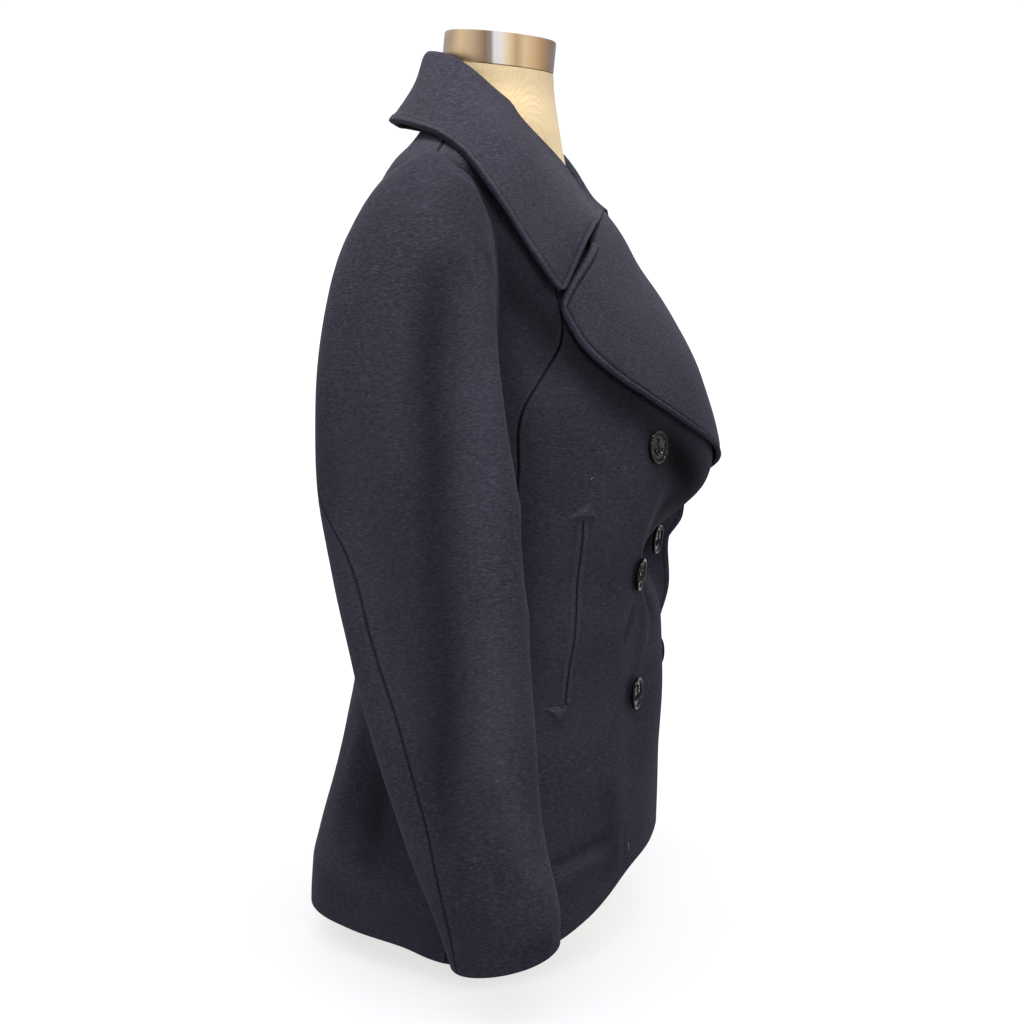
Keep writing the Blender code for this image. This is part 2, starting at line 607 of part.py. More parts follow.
NECK = Table("z half front back tilt", [
    (58.0, 2.0, 6.0, 2.4, 0.0),
    (62.0, 3.6, 8.0, 3.0, 0.0),
    (64.0, 4.4, 7.3, 3.6, 0.0),
    (66.0, 5.0, 6.75, 4.0, 0.0),
    (68.0, 5.5, 6.4, 4.2, 0.1),
    (69.4, 5.7, 6.2, 4.25, 0.3),
    (71.0, 5.5, 5.95, 4.1, 0.55),
    (73.0, 5.0, 5.7, 4.0, 0.85),
    (74.7, 4.85, 5.6, 4.05, 1.0),
])
NECK_BLEND = 9.0      # how sharply the neck meets the torso
FORM_ROWS = [0.0, 1.2, 4.0, 8.0, 14.0, 20.0, 27.0, 34.0, 41.0, 48.0, 54.0, 58.0, 61.0, 63.6, 65.4, 66.4, 67.4,
             68.4, 69.4, 70.2, 71.4, 73.0, 74.7]
FORM_SIDES = 32
CAP_TILT = math.radians(5.8)
CAP_RADIUS = 4.88
CAP_HEIGHT = 2.75
CAP_ROUND = 0.35
CAP_SIDES = 28
NECK_F = 0.75


def ray_to_ellipse(turns, start_f, half, front, back):
    """Distance from (0, start_f) to an ellipse, each way given by turns."""
    middle, deep = (front - back) / 2.0, (front + back) / 2.0
    a = (np.sin(turns) / half) ** 2 + (np.cos(turns) / deep) ** 2
    b = np.cos(turns) * (start_f - middle) / deep**2
    c = ((start_f - middle) / deep) ** 2 - 1.0
    return (-b + np.sqrt(b * b - a * c)) / a


def form_ring(z, turns):
    start_f = float(BODY.at(z, "side"))
    torso = ray_to_ellipse(turns, start_f, *(FORM.at(z, n) for n in ("half", "front", "back")))
    reach = torso
    if z > NECK.key[0]:
        neck = ray_to_ellipse(turns, start_f, *(NECK.at(z, n) for n in ("half", "front", "back")))
        reach = (torso**NECK_BLEND + neck**NECK_BLEND) ** (1.0 / NECK_BLEND)
    f = start_f + reach * np.cos(turns)
    lean = (NECK.at(z, "tilt") if z > NECK.key[0] else 0.0) * math.tan(CAP_TILT) * (f - NECK_F)
    return np.stack([reach * np.sin(turns), -f, z - lean], axis=-1)


def build_form(linen, metal):
    turns = np.linspace(0.0, 2.0 * math.pi, FORM_SIDES, endpoint=False)
    rings = np.concatenate([form_ring(z, turns) for z in FORM_ROWS]) * CM
    b = bmesh.new()
    vertices = [b.verts.new(p) for p in rings]
    for r in range(len(FORM_ROWS) - 1):
        for c in range(FORM_SIDES):
            a, n = r * FORM_SIDES + c, r * FORM_SIDES + (c + 1) % FORM_SIDES
            b.faces.new([vertices[i] for i in (a, n, n + FORM_SIDES, a + FORM_SIDES)])
    b.faces.new(vertices[:FORM_SIDES])
    b.faces.new(vertices[-FORM_SIDES:])
    mesh = bpy.data.meshes.new("dress_form")
    b.to_mesh(mesh)
    b.free()
    make_faces_point_out(mesh)
    mesh.shade_smooth()
    mesh.set_sharp_from_angle(angle=math.radians(50))
    add_object("dress_form", mesh, linen)
    place = Matrix.Translation(Vector((0.0, -NECK_F, FORM_ROWS[-1] + GAP)) * CM)
    profile = [(0.0, CAP_HEIGHT), (CAP_RADIUS - CAP_ROUND, CAP_HEIGHT), (CAP_RADIUS - 0.1, CAP_HEIGHT - 0.1),
               (CAP_RADIUS, CAP_HEIGHT - CAP_ROUND), (CAP_RADIUS, 0.0), (0.0, 0.0)]
    turned("neck_cap", profile, CAP_SIDES, place @ Matrix.Rotation(CAP_TILT, 4, "X"), metal)


def turned(name, profile, sides, place, finish):
    """A body of revolution about its own Z from a profile of (radius, height)."""
    mesh = bpy.data.meshes.new(name)
    points = [(r * CM, 0.0, h * CM) for r, h in profile]
    mesh.from_pydata(points, [(i, i + 1) for i in range(len(points) - 1)], [])
    piece = add_object(name, mesh, finish)
    piece.matrix_world = place
    screw = piece.modifiers.new("turn", "SCREW")
    screw.steps = screw.render_steps = sides
    screw.use_merge_vertices = True
    screw.merge_threshold = 0.00001
    return piece


# ---------------------------------------------------------------- buttons
BUTTON_RADIUS = 1.40
BUTTON_THICK = 0.32
BUTTON_RIM = 0.16
BUTTON_SIDES = 20
BUTTON_LIFT = 0.16
# Place on the front, then which way the face looks: degrees from straight
# ahead to the wearer's right, and degrees up.  The first one on the left is
# on the left front, under the open right one.
BUTTONS = [
    # name,     x,    z,    turn,  up
    ("right_1", -8.3, 42.7, 27.0, 2.0),
    ("right_2", -8.4, 32.0, 7.0, -8.0),
    ("right_3", -8.6, 21.6, 11.0, -3.0),
    ("left_1", 10.1, 42.7, -28.0, 2.0),
    ("left_2", 8.0, 32.6, 12.0, -6.0),
    ("left_3", 9.4, 21.6, -24.0, -3.0),
]
COVERED_BUTTON = "left_1"


def clear_of_cloth(surface, x, z, facing):
    """How far along `facing` a button must stand off to clear the cloth."""
    rim = np.linspace(0.0, 2.0 * math.pi, 16, endpoint=False)[None, :]
    reach = np.linspace(0.0, BUTTON_RADIUS * 1.1, 5)[:, None]
    z_near = z + reach * np.sin(rim)
    cloth = surface(u_at(x + reach * np.cos(rim), z_near), z_near)
    seat = surface(u_at(x, z), z)
    return seat, float(((cloth - seat) @ np.array(facing)).max())


def build_buttons(horn):
    profile = [(0.0, BUTTON_THICK - 0.08), (BUTTON_RADIUS - 2.0 * BUTTON_RIM, BUTTON_THICK - 0.08),
               (BUTTON_RADIUS - BUTTON_RIM, BUTTON_THICK), (BUTTON_RADIUS - 0.04, BUTTON_THICK - 0.06),
               (BUTTON_RADIUS, BUTTON_THICK * 0.5), (BUTTON_RADIUS - 0.12, 0.0), (0.0, 0.0)]
    for name, x, z, turn, up in BUTTONS:
        surface = front_under if name == COVERED_BUTTON else front_over
        turn, up = math.radians(turn), math.radians(up)
        facing = Vector((-math.sin(turn) * math.cos(up), -math.cos(turn) * math.cos(up), math.sin(up)))
        seat, lift = clear_of_cloth(surface, x, z, facing)
        spin = facing.to_track_quat("Z", "Y").to_matrix().to_4x4()
        centre = (Vector(seat) + facing * (lift + BUTTON_LIFT)) * CM
        turned("button_" + name, profile, BUTTON_SIDES, Matrix.Translation(centre) @ spin, horn)


# ---------------------------------------------------------------- pockets
POCKET_TOP = (0.590, 37.3)     # u and z of the slit's upper end
POCKET_LOW = (0.622, 22.3)
LIP_WIDTH = 0.95
LIP_THICK = 0.14
LIP_LIFT = 0.09
TAB_HALF_WIDTH = 1.60
TAB_HEIGHT = 1.55
TAB_TAPER = 0.93
# Arrow-head tabs: u and z of the base's middle, the way the point looks, and
# how far the point leans to the front.
TABS = [
    # name,            u,     z,    way,  lean
    ("pocket_tab_top", 0.589, 37.3, 1.0, 0.55),
    ("pocket_tab_low", 0.648, 22.3, -1.0, 0.25),
]


def build_pockets(cloth):
    for side, way, surface in (("right", 1.0, front_over), ("left", -1.0, front_under)):
        def patch(name, u, z):
            outer = surface(way * u, z, LIP_LIFT + LIP_THICK)
            add_wall(name + "_" + side, outer, surface(way * u, z, LIP_LIFT), cloth)

        share = np.linspace(0.0, 1.0, 9)[:, None]
        slit_u = POCKET_TOP[0] + (POCKET_LOW[0] - POCKET_TOP[0]) * share
        slit_z = POCKET_TOP[1] + (POCKET_LOW[1] - POCKET_TOP[1]) * share
        lips = (("pocket_lip_front", -LIP_WIDTH, -GAP / 2.0), ("pocket_lip_back", GAP / 2.0, LIP_WIDTH))
        for name, near, far in lips:
            across = np.linspace(near, far, 3)[None, :] / QUARTER_LENGTH
            patch(name, slit_u + across, slit_z + 0.0 * across)
        for name, u, z, point, lean in TABS:
            rise = np.linspace(0.0, 1.0, 4)[:, None]
            across = np.linspace(-1.0, 1.0, 5)[None, :] * TAB_HALF_WIDTH * (1.0 - TAB_TAPER * rise) - lean * rise
            patch(name, u + across / QUARTER_LENGTH, z + point * (GAP + TAB_HEIGHT * rise) + 0.0 * across)


def build():
    clear_scene()
    melton = material("navy_melton", (0.012, 0.014, 0.026), 0.92)
    linen = material("cream_linen", (0.78, 0.66, 0.46), 0.85)
    metal = material("brushed_nickel", (0.62, 0.52, 0.40), 0.32, 1.0)
    build_form(linen, metal)
    build_body(melton)
    build_sleeves(melton)
    build_collar(melton)
    build_lapels(melton)
    build_pockets(melton)
    build_buttons(material("black_horn", (0.02, 0.02, 0.022), 0.22))


build()
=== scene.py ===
"""Pea coat on a limbless dress form, dressed for the render.

The frame is in metres, +Z up, and the wearer faces -Y with the left arm at +X.
Tables and named sizes are in centimetres; "f" is a distance forward, along -Y.
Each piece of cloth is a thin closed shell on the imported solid's own surface,
with its creases, seams, rolled edges and stitching worked out here.
"""
import json
import math

import bpy
import numpy as np
from mathutils import Matrix, Vector

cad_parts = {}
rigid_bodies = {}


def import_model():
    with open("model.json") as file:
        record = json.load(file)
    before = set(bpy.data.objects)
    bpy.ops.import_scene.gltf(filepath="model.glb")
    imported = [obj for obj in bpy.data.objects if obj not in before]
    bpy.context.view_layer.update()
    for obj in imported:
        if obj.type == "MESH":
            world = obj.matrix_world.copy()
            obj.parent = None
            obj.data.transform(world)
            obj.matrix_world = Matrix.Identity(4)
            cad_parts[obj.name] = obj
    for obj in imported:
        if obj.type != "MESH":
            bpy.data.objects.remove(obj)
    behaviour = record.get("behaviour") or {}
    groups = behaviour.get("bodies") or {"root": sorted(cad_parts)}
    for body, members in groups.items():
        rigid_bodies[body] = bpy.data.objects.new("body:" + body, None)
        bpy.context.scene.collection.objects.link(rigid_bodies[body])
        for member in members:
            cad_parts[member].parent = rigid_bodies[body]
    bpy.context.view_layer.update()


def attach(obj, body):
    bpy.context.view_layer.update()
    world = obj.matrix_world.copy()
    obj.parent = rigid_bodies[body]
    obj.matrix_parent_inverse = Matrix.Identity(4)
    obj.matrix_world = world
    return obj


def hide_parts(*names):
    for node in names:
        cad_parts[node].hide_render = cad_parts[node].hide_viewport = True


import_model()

CM = 0.01            # metres in a centimetre
WALL = 0.30          # melton wall
COLLAR_WALL = 0.34   # collar and lapels, cloth on cloth
GAP = 0.03           # between neighbours, at seams and where one lies on another
QUARTER = math.pi / 2.0
QUARTER_LENGTH = 27.5  # of a body section, from the centre front to the side


def hermite(w, a, slope_a, b, slope_b, step=1.0):
    """A smooth curve from a to b over a step, as w runs from 0 to 1."""
    return ((2 * w**3 - 3 * w**2 + 1) * a + (w**3 - 2 * w**2 + w) * step * slope_a
            + (3 * w**2 - 2 * w**3) * b + (w**3 - w**2) * step * slope_b)


class Table:
    """Rows of named columns; a smooth curve runs through the rows."""

    def __init__(self, names, rows):
        self.names = names.split()
        data = np.array(rows, float)
        self.key = data[:, 0]
        self.columns = {n: data[:, i] for i, n in enumerate(self.names)}
        self.slopes = {n: np.gradient(self.columns[n], self.key) for n in self.names[1:]}

    def at(self, key, name):
        key = np.asarray(key, float)
        i = np.clip(np.searchsorted(self.key, key, side="right") - 1, 0, len(self.key) - 2)
        step = self.key[i + 1] - self.key[i]
        w = np.clip((key - self.key[i]) / step, 0.0, 1.0)
        v, m = self.columns[name], self.slopes[name]
        return hermite(w, v[i], m[i], v[i + 1], m[i + 1], step)


def smooth(x):
    """From 0 to 1 without a corner as x runs from 0 to 1."""
    x = np.clip(x, 0.0, 1.0)
    return x * x * (3.0 - 2.0 * x)


def bump(x, middle, width):
    """A bell curve of height 1."""
    return np.exp(-((x - middle) / width) ** 2)


def bumps(x, rows, start=0.0):
    """Sum of bell curves from rows of height, middle and width."""
    return sum((height * bump(x, middle, width) for height, middle, width in rows), start)


def unit(vectors):
    return vectors / np.linalg.norm(vectors, axis=-1, keepdims=True)


def run_along(points):
    """Length of the way from the first place to each place of a row."""
    steps = np.linalg.norm(np.diff(points, axis=-2), axis=-1)
    return np.concatenate([np.zeros(steps.shape[:-1] + (1,)), np.cumsum(steps, axis=-1)], axis=-1)


def full_turn(count):
    return np.linspace(0.0, 2.0 * math.pi, count, endpoint=False)


# ---------------------------------------------------------------- coat body
# One horizontal section per row: half width at the side line, depth in front,
# depth behind, and how far forward the side line lies.
BODY = Table("z half front back side round", [
    (0.0, 22.7, 15.0, 16.6, -0.4, 1.65),
    (6.0, 22.3, 15.1, 15.7, -0.4, 1.75),
    (14.0, 21.3, 15.3, 13.5, -0.4, 1.95),
    (22.0, 20.0, 15.5, 11.5, -0.4, 2.2),
    (27.0, 19.3, 15.4, 10.5, -0.4, 2.35),
    (32.0, 18.7, 14.7, 10.2, -0.4, 2.4),
    (37.0, 18.5, 16.1, 10.3, -0.5, 2.4),
    (42.0, 18.5, 17.0, 10.8, -0.7, 2.4),
    (47.0, 18.7, 16.3, 11.3, -0.9, 2.4),
    (52.0, 18.8, 14.2, 11.5, -1.0, 2.4),
    (57.0, 18.9, 11.5, 11.2, -1.1, 2.4),
    (61.0, 18.9, 9.55, 10.2, -1.2, 2.4),
    (64.0, 18.9, 7.4, 8.7, -1.4, 2.4),
    (66.6, 18.7, 4.9, 6.7, -1.6, 2.4),
    (67.5, 16.4, 4.3, 6.1, -1.4, 2.3),
    (68.5, 13.4, 4.0, 5.8, -1.0, 2.2),
    (69.5, 10.4, 4.2, 5.5, -0.4, 2.1),
    (70.7, 7.7, 4.7, 5.2, 0.2, 2.0),
])
NECK_Z = 70.7        # neckline at the back and the shoulder's end
TIP_Z = 66.6         # shoulder tip, the top of the armhole
UNDERARM_Z = 46.6
HEM_Z = 2.0
HEM_FADE_Z = 30.0    # above this height the hem's rise no longer bends the rows

# Hem height round the body: u is 0 at the centre front, 1 at the side, 2 at the back.
HEM = Table("u z", [
    (0.0, 7.4), (0.3, 6.5), (0.5, 3.9), (0.7, 2.3), (0.85, 2.0), (1.0, 2.0), (1.3, 2.5), (1.6, 2.6),
    (2.0, 2.5)])

# Armhole: u of its front and back edge at each height.
ARMHOLE = Table("z front back", [
    (46.6, 1.0, 1.0), (47.2, 0.935, 1.09), (50.0, 0.869, 1.24), (55.0, 0.805, 1.33),
    (59.0, 0.775, 1.36), (62.5, 0.768, 1.33), (65.0, 0.83, 1.23), (66.6, 1.0, 1.0)])

# Seam between the front and the side front, from the hem to the shoulder;
# its last piece, above the table, runs straight to the shoulder seam.
FRONT_SEAM_TOP_Z = 68.4
STEEP_SEAM_Z = 59.0
FRONT_SEAM = Table("z u", [
    (0.0, 0.77), (20.0, 0.79), (35.0, 0.80), (41.0, 0.799), (46.9, 0.76), (49.4, 0.68), (51.9, 0.595),
    (56.0, 0.55), (60.0, 0.57), (64.0, 0.66), (67.5, 0.84)])

# Front edge above the break: the roll line, then the neckline seam of the collar.
EDGE_X = 10.8        # free front edge past the centre
EDGE_IN = 0.8        # how far it comes in by the break, from EDGE_IN_Z
EDGE_IN_Z = 34.0
BREAK_Z = 38.0
GORGE_Z = 61.6       # where collar and lapel meet at the roll line
ROLL = Table("z x", [
    (38.0, 10.0), (41.0, 8.6), (45.0, 6.8), (49.0, 4.9), (53.0, 2.95), (56.0, 1.5), (59.2, 0.0),
    (61.6, -2.0), (63.5, -3.8), (66.0, -5.4), (68.0, -6.4), (70.7, -7.2)])

# How far the unbuttoned right front stands off, fully at SWING_X and beyond.
SWING = Table("z lift", [
    (32.4, 0.0), (34.0, 0.7), (36.3, 2.0), (39.0, 3.1), (41.2, 3.3), (43.0, 2.8), (45.6, 2.3),
    (48.4, 2.0), (51.0, 1.7), (54.0, 1.3), (56.6, 0.9), (59.2, 0.55), (61.6, 0.15), (64.0, 0.0)])
SWING_START_X = -9.0
SWING_X = 6.0
FLIP = Table("z lift", [
    (20.0, 0.0), (24.0, 1.4), (28.0, 2.8), (32.0, 3.5), (34.2, 3.6), (36.6, 2.5), (39.6, 0.0)])
FLIP_START_X = 5.0    # from here the free edge bends forward, between the buttoned rows
FLIP_END_X = 10.8
FLIP_POWER = 2.6
UNDERLAP_DROP = 1.10  # the left front lies this much deeper where the right one covers it
UNDERLAP_FROM_X = 18.0
UNDERLAP_FULL_X = 9.0
UNDERLAP_TOP_Z = 64.5
UNDERLAP_FADE_Z = 4.0

# Large soft folds of the body: middle, half width, height range and depth;
# side 1 is on the wearer's right, -1 on the left and 0 on both.
FOLDS = [
    # u,    width, z_low, z_high, depth, side
    (0.40, 0.16, 21.0, 45.0, 1.20, 1),
    (0.27, 0.11, 6.0, 33.0, -0.75, 1),
    (0.42, 0.14, 18.0, 44.0, 0.40, -1),
    (0.60, 0.14, 20.0, 42.0, 0.45, 1),
    (1.22, 0.13, -12.0, 24.0, -0.90, 0),
    (1.58, 0.13, -12.0, 26.0, 1.20, 0),
    (1.86, 0.09, -8.0, 20.0, -0.40, 0),
    (0.93, 0.09, -8.0, 16.0, 0.35, 0),
    (-0.07, 0.27, 27.0, 39.5, -1.30, 1),
    (0.70, 0.05, 46.0, 60.0, -0.35, 0),
]

# Creases of the body, each along a line of (s, z) places, where s is u * QUARTER_LENGTH: a depth of less than
# 0 is a trough. The painted shading column paints shade darker into a trough and a highlight paler on a
# ridge. Rows without depth only paint shade: a painted shadow under the right lapel, and painted shade down
# the sides, low on the right front and over the back of the skirt.
BODY_CREASES = [
    # depth, painted shading, width, side, line
    (0.30, 0.00, 1.0, 1, [(5.2, 41.5), (7.8, 38.0), (8.8, 36.6), (8.2, 34.2), (6.3, 29.5), (6.6, 25.2),
                          (7.0, 21.0)]),
    (-0.26, -0.50, 1.2, 1, [(3.2, 39.0), (5.0, 36.5), (4.6, 31.0), (3.8, 26.0)]),
    (-0.20, -0.35, 0.45, 1, [(8.3, 29.6), (9.7, 28.1), (11.0, 26.4)]),
    (0.14, 0.10, 0.55, 1, [(9.1, 30.0), (10.6, 28.4), (11.9, 26.6)]),
    (0.12, 0.25, 0.40, 1, [(5.6, 24.2), (3.8, 24.8), (2.0, 25.2)]),
    (0.14, 0.20, 0.75, 1, [(18.6, 8.0), (16.8, 8.2), (14.9, 8.6), (12.8, 8.9), (10.8, 8.6)]),
    (-0.08, -0.30, 0.50, 1, [(18.6, 9.3), (16.8, 9.5), (14.9, 9.9), (12.8, 10.2), (10.8, 9.9)]),
    (0.09, 0.30, 0.25, 1, [(9.6, 11.0), (9.6, 8.6), (9.3, 6.3)]),
    (-0.05, -0.30, 0.25, 1, [(9.1, 11.0), (9.1, 8.6), (8.8, 6.3)]),
    (0.12, 0.20, 0.9, -1, [(18.6, 8.0), (15.0, 8.5), (11.0, 8.7)]),
    (0.10, 0.15, 1.3, 0, [(21.0, 7.2), (27.0, 6.9), (34.0, 7.0), (44.0, 7.2), (54.0, 7.2)]),
    (0.30, 0.10, 1.3, 0, [(40.2, 21.5), (40.9, 16.0), (41.2, 11.0), (40.6, 5.0)]),
    (-0.35, -0.30, 1.8, 0, [(36.6, 18.0), (37.4, 12.0), (37.9, 6.0)]),
    (0.22, 0.15, 1.4, -1, [(20.0, 38.0), (16.0, 35.5), (12.0, 34.2), (8.8, 33.0)]),
    (-0.18, -0.20, 1.2, -1, [(19.0, 34.5), (15.0, 32.2), (11.0, 30.8)]),
    (-0.22, -0.20, 1.5, 0, [(50.5, 36.0), (46.0, 33.0), (41.0, 31.5)]),
    (0.16, 0.10, 1.3, 0, [(51.0, 39.0), (46.0, 36.0), (41.0, 34.5)]),
    (-0.18, -0.20, 1.8, 0, [(35.0, 52.0), (42.0, 47.0), (48.0, 44.5)]),
    (0.20, 0.10, 1.2, 0, [(18.9, 60.0), (18.7, 54.0), (19.6, 49.5)]),
    # These rows only paint shade: over the back of the skirt, down the sides, low on the right front, and a
    # painted shadow under the right lapel.
    (0.00, -0.24, 9.0, 0, [(37.0, 30.0), (41.0, 8.0)]),
    (0.00, -0.34, 1.6, 0, [(24.5, 60.0), (22.6, 54.0), (22.0, 46.0), (21.8, 38.0), (20.8, 30.0),
                           (20.0, 20.0)]),
    (0.00, -0.35, 1.8, 1, [(12.0, 16.0), (11.0, 11.0), (11.0, 6.0)]),
    (0.00, -0.62, 2.4, 1, [(23.5, 63.5), (21.5, 60.5), (19.4, 55.5), (17.2, 52.2), (14.2, 49.0), (10.6, 46.6),
                           (7.6, 44.4), (4.6, 41.8), (2.2, 40.0), (-1.0, 37.6), (-5.0, 35.0)]),
    (0.00, -0.42, 3.0, 1, [(8.0, 43.5), (4.0, 40.4), (1.6, 38.6), (-1.6, 36.4), (-6.0, 34.5)]),
]
# Creases of the sleeve, along lines of (turn, t). Their painted shading column paints shade darker into a
# trough and a highlight paler on a ridge; the row without depth is only a painted highlight down the back of
# the sleeve.
SLEEVE_CREASES = [
    # depth, painted shading, width, line
    (-0.46, -0.46, 1.15, [(0.16, 0.13), (0.13, 0.176), (0.066, 0.225), (0.055, 0.335), (0.054, 0.403),
                          (0.044, 0.471), (0.037, 0.54), (0.032, 0.61), (0.021, 0.68), (0.006, 0.746),
                          (-0.022, 0.817), (-0.07, 0.87)]),
    (0.40, 0.30, 1.9, [(0.24, 0.19), (0.208, 0.257), (0.168, 0.336), (0.153, 0.405), (0.144, 0.474),
                       (0.138, 0.543), (0.130, 0.612), (0.122, 0.681), (0.126, 0.751), (0.160, 0.826),
                       (0.190, 0.90), (0.20, 0.97)]),
    (0.10, 0.22, 1.8, [(0.33, 0.06), (0.27, 0.13), (0.24, 0.20)]),
    (-0.30, -0.20, 1.5, [(0.10, 0.04), (0.13, 0.11), (0.155, 0.17)]),
    (0.22, 0.10, 1.9, [(-0.09, 0.08), (-0.075, 0.30), (-0.055, 0.55), (-0.075, 0.80)]),
    # Painted highlight only, no crease, down the lower back of the sleeve.
    (0.00, 0.30, 3.0, [(-0.17, 0.42), (-0.15, 0.60), (-0.16, 0.78), (-0.16, 0.95)]),
    (-0.16, -0.10, 1.2, [(0.27, 0.46), (0.33, 0.50), (0.40, 0.52)]),
    (0.14, 0.10, 1.3, [(0.26, 0.50), (0.33, 0.54), (0.41, 0.55)]),
    (-0.14, -0.10, 1.4, [(0.24, 0.60), (0.32, 0.62), (0.42, 0.61)]),
    (-0.12, -0.20, 1.0, [(0.05, 0.985), (0.12, 0.972), (0.19, 0.985)]),
]
CREASE_FADE = 0.22    # share of a crease's length over which each end fades out
SLEEVE_ROUND = 34.0   # lengths that turn and t stand for, for the creases' widths
SLEEVE_LONG = 62.0
# Small unevenness of the hung cloth: waves along X, Y and Z, phase, depth.
UNEVEN = [
    (0.42, 0.31, 0.26, 0.4, 0.045), (-0.35, 0.52, 0.38, 2.1, 0.035), (0.71, -0.44, 0.22, 4.4, 0.028),
    (0.18, 0.80, 0.61, 1.3, 0.022), (-0.95, 0.33, 0.74, 5.2, 0.014), (1.22, 1.05, -0.67, 3.1, 0.010)]


def swing(x, z):
    rise = np.where((z > SWING.key[0]) & (z < SWING.key[-1]), SWING.at(z, "lift"), 0.0)
    return rise * smooth((x - SWING_START_X) / (SWING_X - SWING_START_X))


def fold_row(place, height, middle, width, low, high, depth):
    """One soft fold, which fades out towards both ends of its range."""
    along = np.clip((height - low) / (high - low), 0.0, 1.0)
    return depth * bump(place, middle, width) * np.sin(math.pi * along) ** 2


def fold(u, z):
    total = 0.0
    for *shape, side in FOLDS:
        total = total + fold_row(u * side if side else np.abs(u), z, *shape)
    return total


def near_line(line, a, b):
    """Distance of each place (a, b) from a line, and the share of the line's length there."""
    line = np.array(line, float)
    steps = np.linalg.norm(np.diff(line, axis=0), axis=1)
    start = np.concatenate([[0.0], np.cumsum(steps)])
    best, share = np.full(a.shape, 1e9), np.zeros(a.shape)
    for i, step in enumerate(steps):
        p, q = line[i], line[i + 1]
        w = np.clip(((a - p[0]) * (q[0] - p[0]) + (b - p[1]) * (q[1] - p[1])) / step**2, 0.0, 1.0)
        d = np.hypot(a - p[0] - w * (q[0] - p[0]), b - p[1] - w * (q[1] - p[1]))
        share = np.where(d < best, (start[i] + w * step) / start[-1], share)
        best = np.minimum(best, d)
    return best, share


def crease_depth(line, depth, width, a, b):
    d, share = near_line(line, a, b)
    fade = smooth(share / CREASE_FADE) * smooth((1.0 - share) / CREASE_FADE)
    return depth * bump(d, 0.0, width) * fade


def body_creases(u, z, column=0):
    """Depth of the creases, or with column 1 their painted shade and highlight."""
    total = np.zeros(np.shape(u))
    for row in BODY_CREASES:
        width, side, line = row[2:]
        place = (u * side if side else np.abs(u)) * QUARTER_LENGTH
        total = total + crease_depth(line, row[column], width, place, z)
    return total


def uneven(points):
    total = 0.0
    for x, y, z, phase, depth in UNEVEN:
        total = total + depth * np.sin(points[..., 0] * x + points[..., 1] * y + points[..., 2] * z + phase)
    return total


def body_point(u, z):
    half, front, back, side, bend = (BODY.at(z, n) for n in ("half", "front", "back", "side", "round"))
    turn = np.abs(u) * QUARTER
    ahead = np.minimum(turn, QUARTER)
    behind = np.clip(turn - QUARTER, 0.0, QUARTER)
    power = 2.0 / bend
    wide = np.where(turn <= QUARTER, np.sin(ahead), np.clip(np.cos(behind), 0.0, 1.0) ** power)
    deep = np.where(turn <= QUARTER, side + (front - side) * np.cos(ahead),
                    side - (back + side) * np.sin(behind) ** power)
    return np.stack([-np.sign(u) * half * wide, -deep, z + 0.0 * u], axis=-1)


def normal_of(surface, a, b, step_a, step_b):
    """Unit normal of surface(a, b) from central differences."""
    across = surface(a + step_a, b) - surface(a - step_a, b)
    along = surface(a, b + step_b) - surface(a, b - step_b)
    return unit(np.cross(along, across))


def body(u, z, out=0.0, creased=1.0):
    """The coat's surface, moved out by `out`; u > 0 is the wearer's right."""
    u, z = np.broadcast_arrays(np.asarray(u, float), np.asarray(z, float))
    normal = normal_of(body_point, u, z, 0.004, 0.15)
    points = body_point(u, z)
    soft = fold(u, z)
    if creased:
        soft = soft + creased * (body_creases(u, z) + uneven(points))
    return points + normal * (out + soft)[..., None]


def u_at(x, z):
    """Where a section has this x, on the front half."""
    return -np.arcsin(np.clip(np.asarray(x) / BODY.at(z, "half"), -1.0, 1.0)) / QUARTER


def x_at(u, z):
    return -BODY.at(z, "half") * np.sin(np.asarray(u) * QUARTER)


def front_over(u, z, out=0.0, creased=1.0):
    x = x_at(u, z)
    past = np.clip((x - FLIP_START_X) / (FLIP_END_X - FLIP_START_X), 0.0, None)
    flip = FLIP.at(z, "lift") * past**FLIP_POWER
    return body(u, z, out + swing(x, z), creased) + np.stack([0.0 * flip, -flip, 0.0 * flip], axis=-1)


def front_under(u, z, out=0.0, creased=1.0):
    """u < 0 on the wearer's left, where this front belongs."""
    covered = smooth((UNDERLAP_FROM_X - x_at(u, z)) / (UNDERLAP_FROM_X - UNDERLAP_FULL_X))
    covered = covered * smooth((UNDERLAP_TOP_Z - z) / UNDERLAP_FADE_Z)
    return body(u, z, out - UNDERLAP_DROP * covered, creased)


def seam_gap(z):
    """Half of the seam gap, as a step in u."""
    quarter_length = (BODY.at(z, "half") + BODY.at(z, "front")) / 2.0 * QUARTER
    return GAP / 2.0 / quarter_length


def front_seam_gap(z):
    """Wider where the seam runs steeply across the sections."""
    return seam_gap(z) * (1.0 + smooth((z - STEEP_SEAM_Z) / 5.0))


def hem_height(u, z):
    """Rows near the hem follow its rise to the front."""
    rise = HEM.at(np.abs(u), "z") - HEM_Z
    return z + rise * np.clip((HEM_FADE_Z - z) / (HEM_FADE_Z - HEM_Z), 0.0, 1.0)


def front_edge_x(z):
    below = EDGE_X - EDGE_IN * smooth((z - EDGE_IN_Z) / (BREAK_Z - EDGE_IN_Z))
    return np.where(z < BREAK_Z, below, ROLL.at(z, "x"))


def front_seam_u(z):
    low_z, low_u = FRONT_SEAM.key[-1], FRONT_SEAM.columns["u"][-1]
    share = np.clip((z - low_z) / (FRONT_SEAM_TOP_Z - low_z), 0.0, 1.0)
    return np.where(z < low_z, FRONT_SEAM.at(z, "u"), low_u + (1.0 - low_u) * share)


def front_borders(z):
    return u_at(front_edge_x(z), z) + seam_gap(z), front_seam_u(z) - front_seam_gap(z)


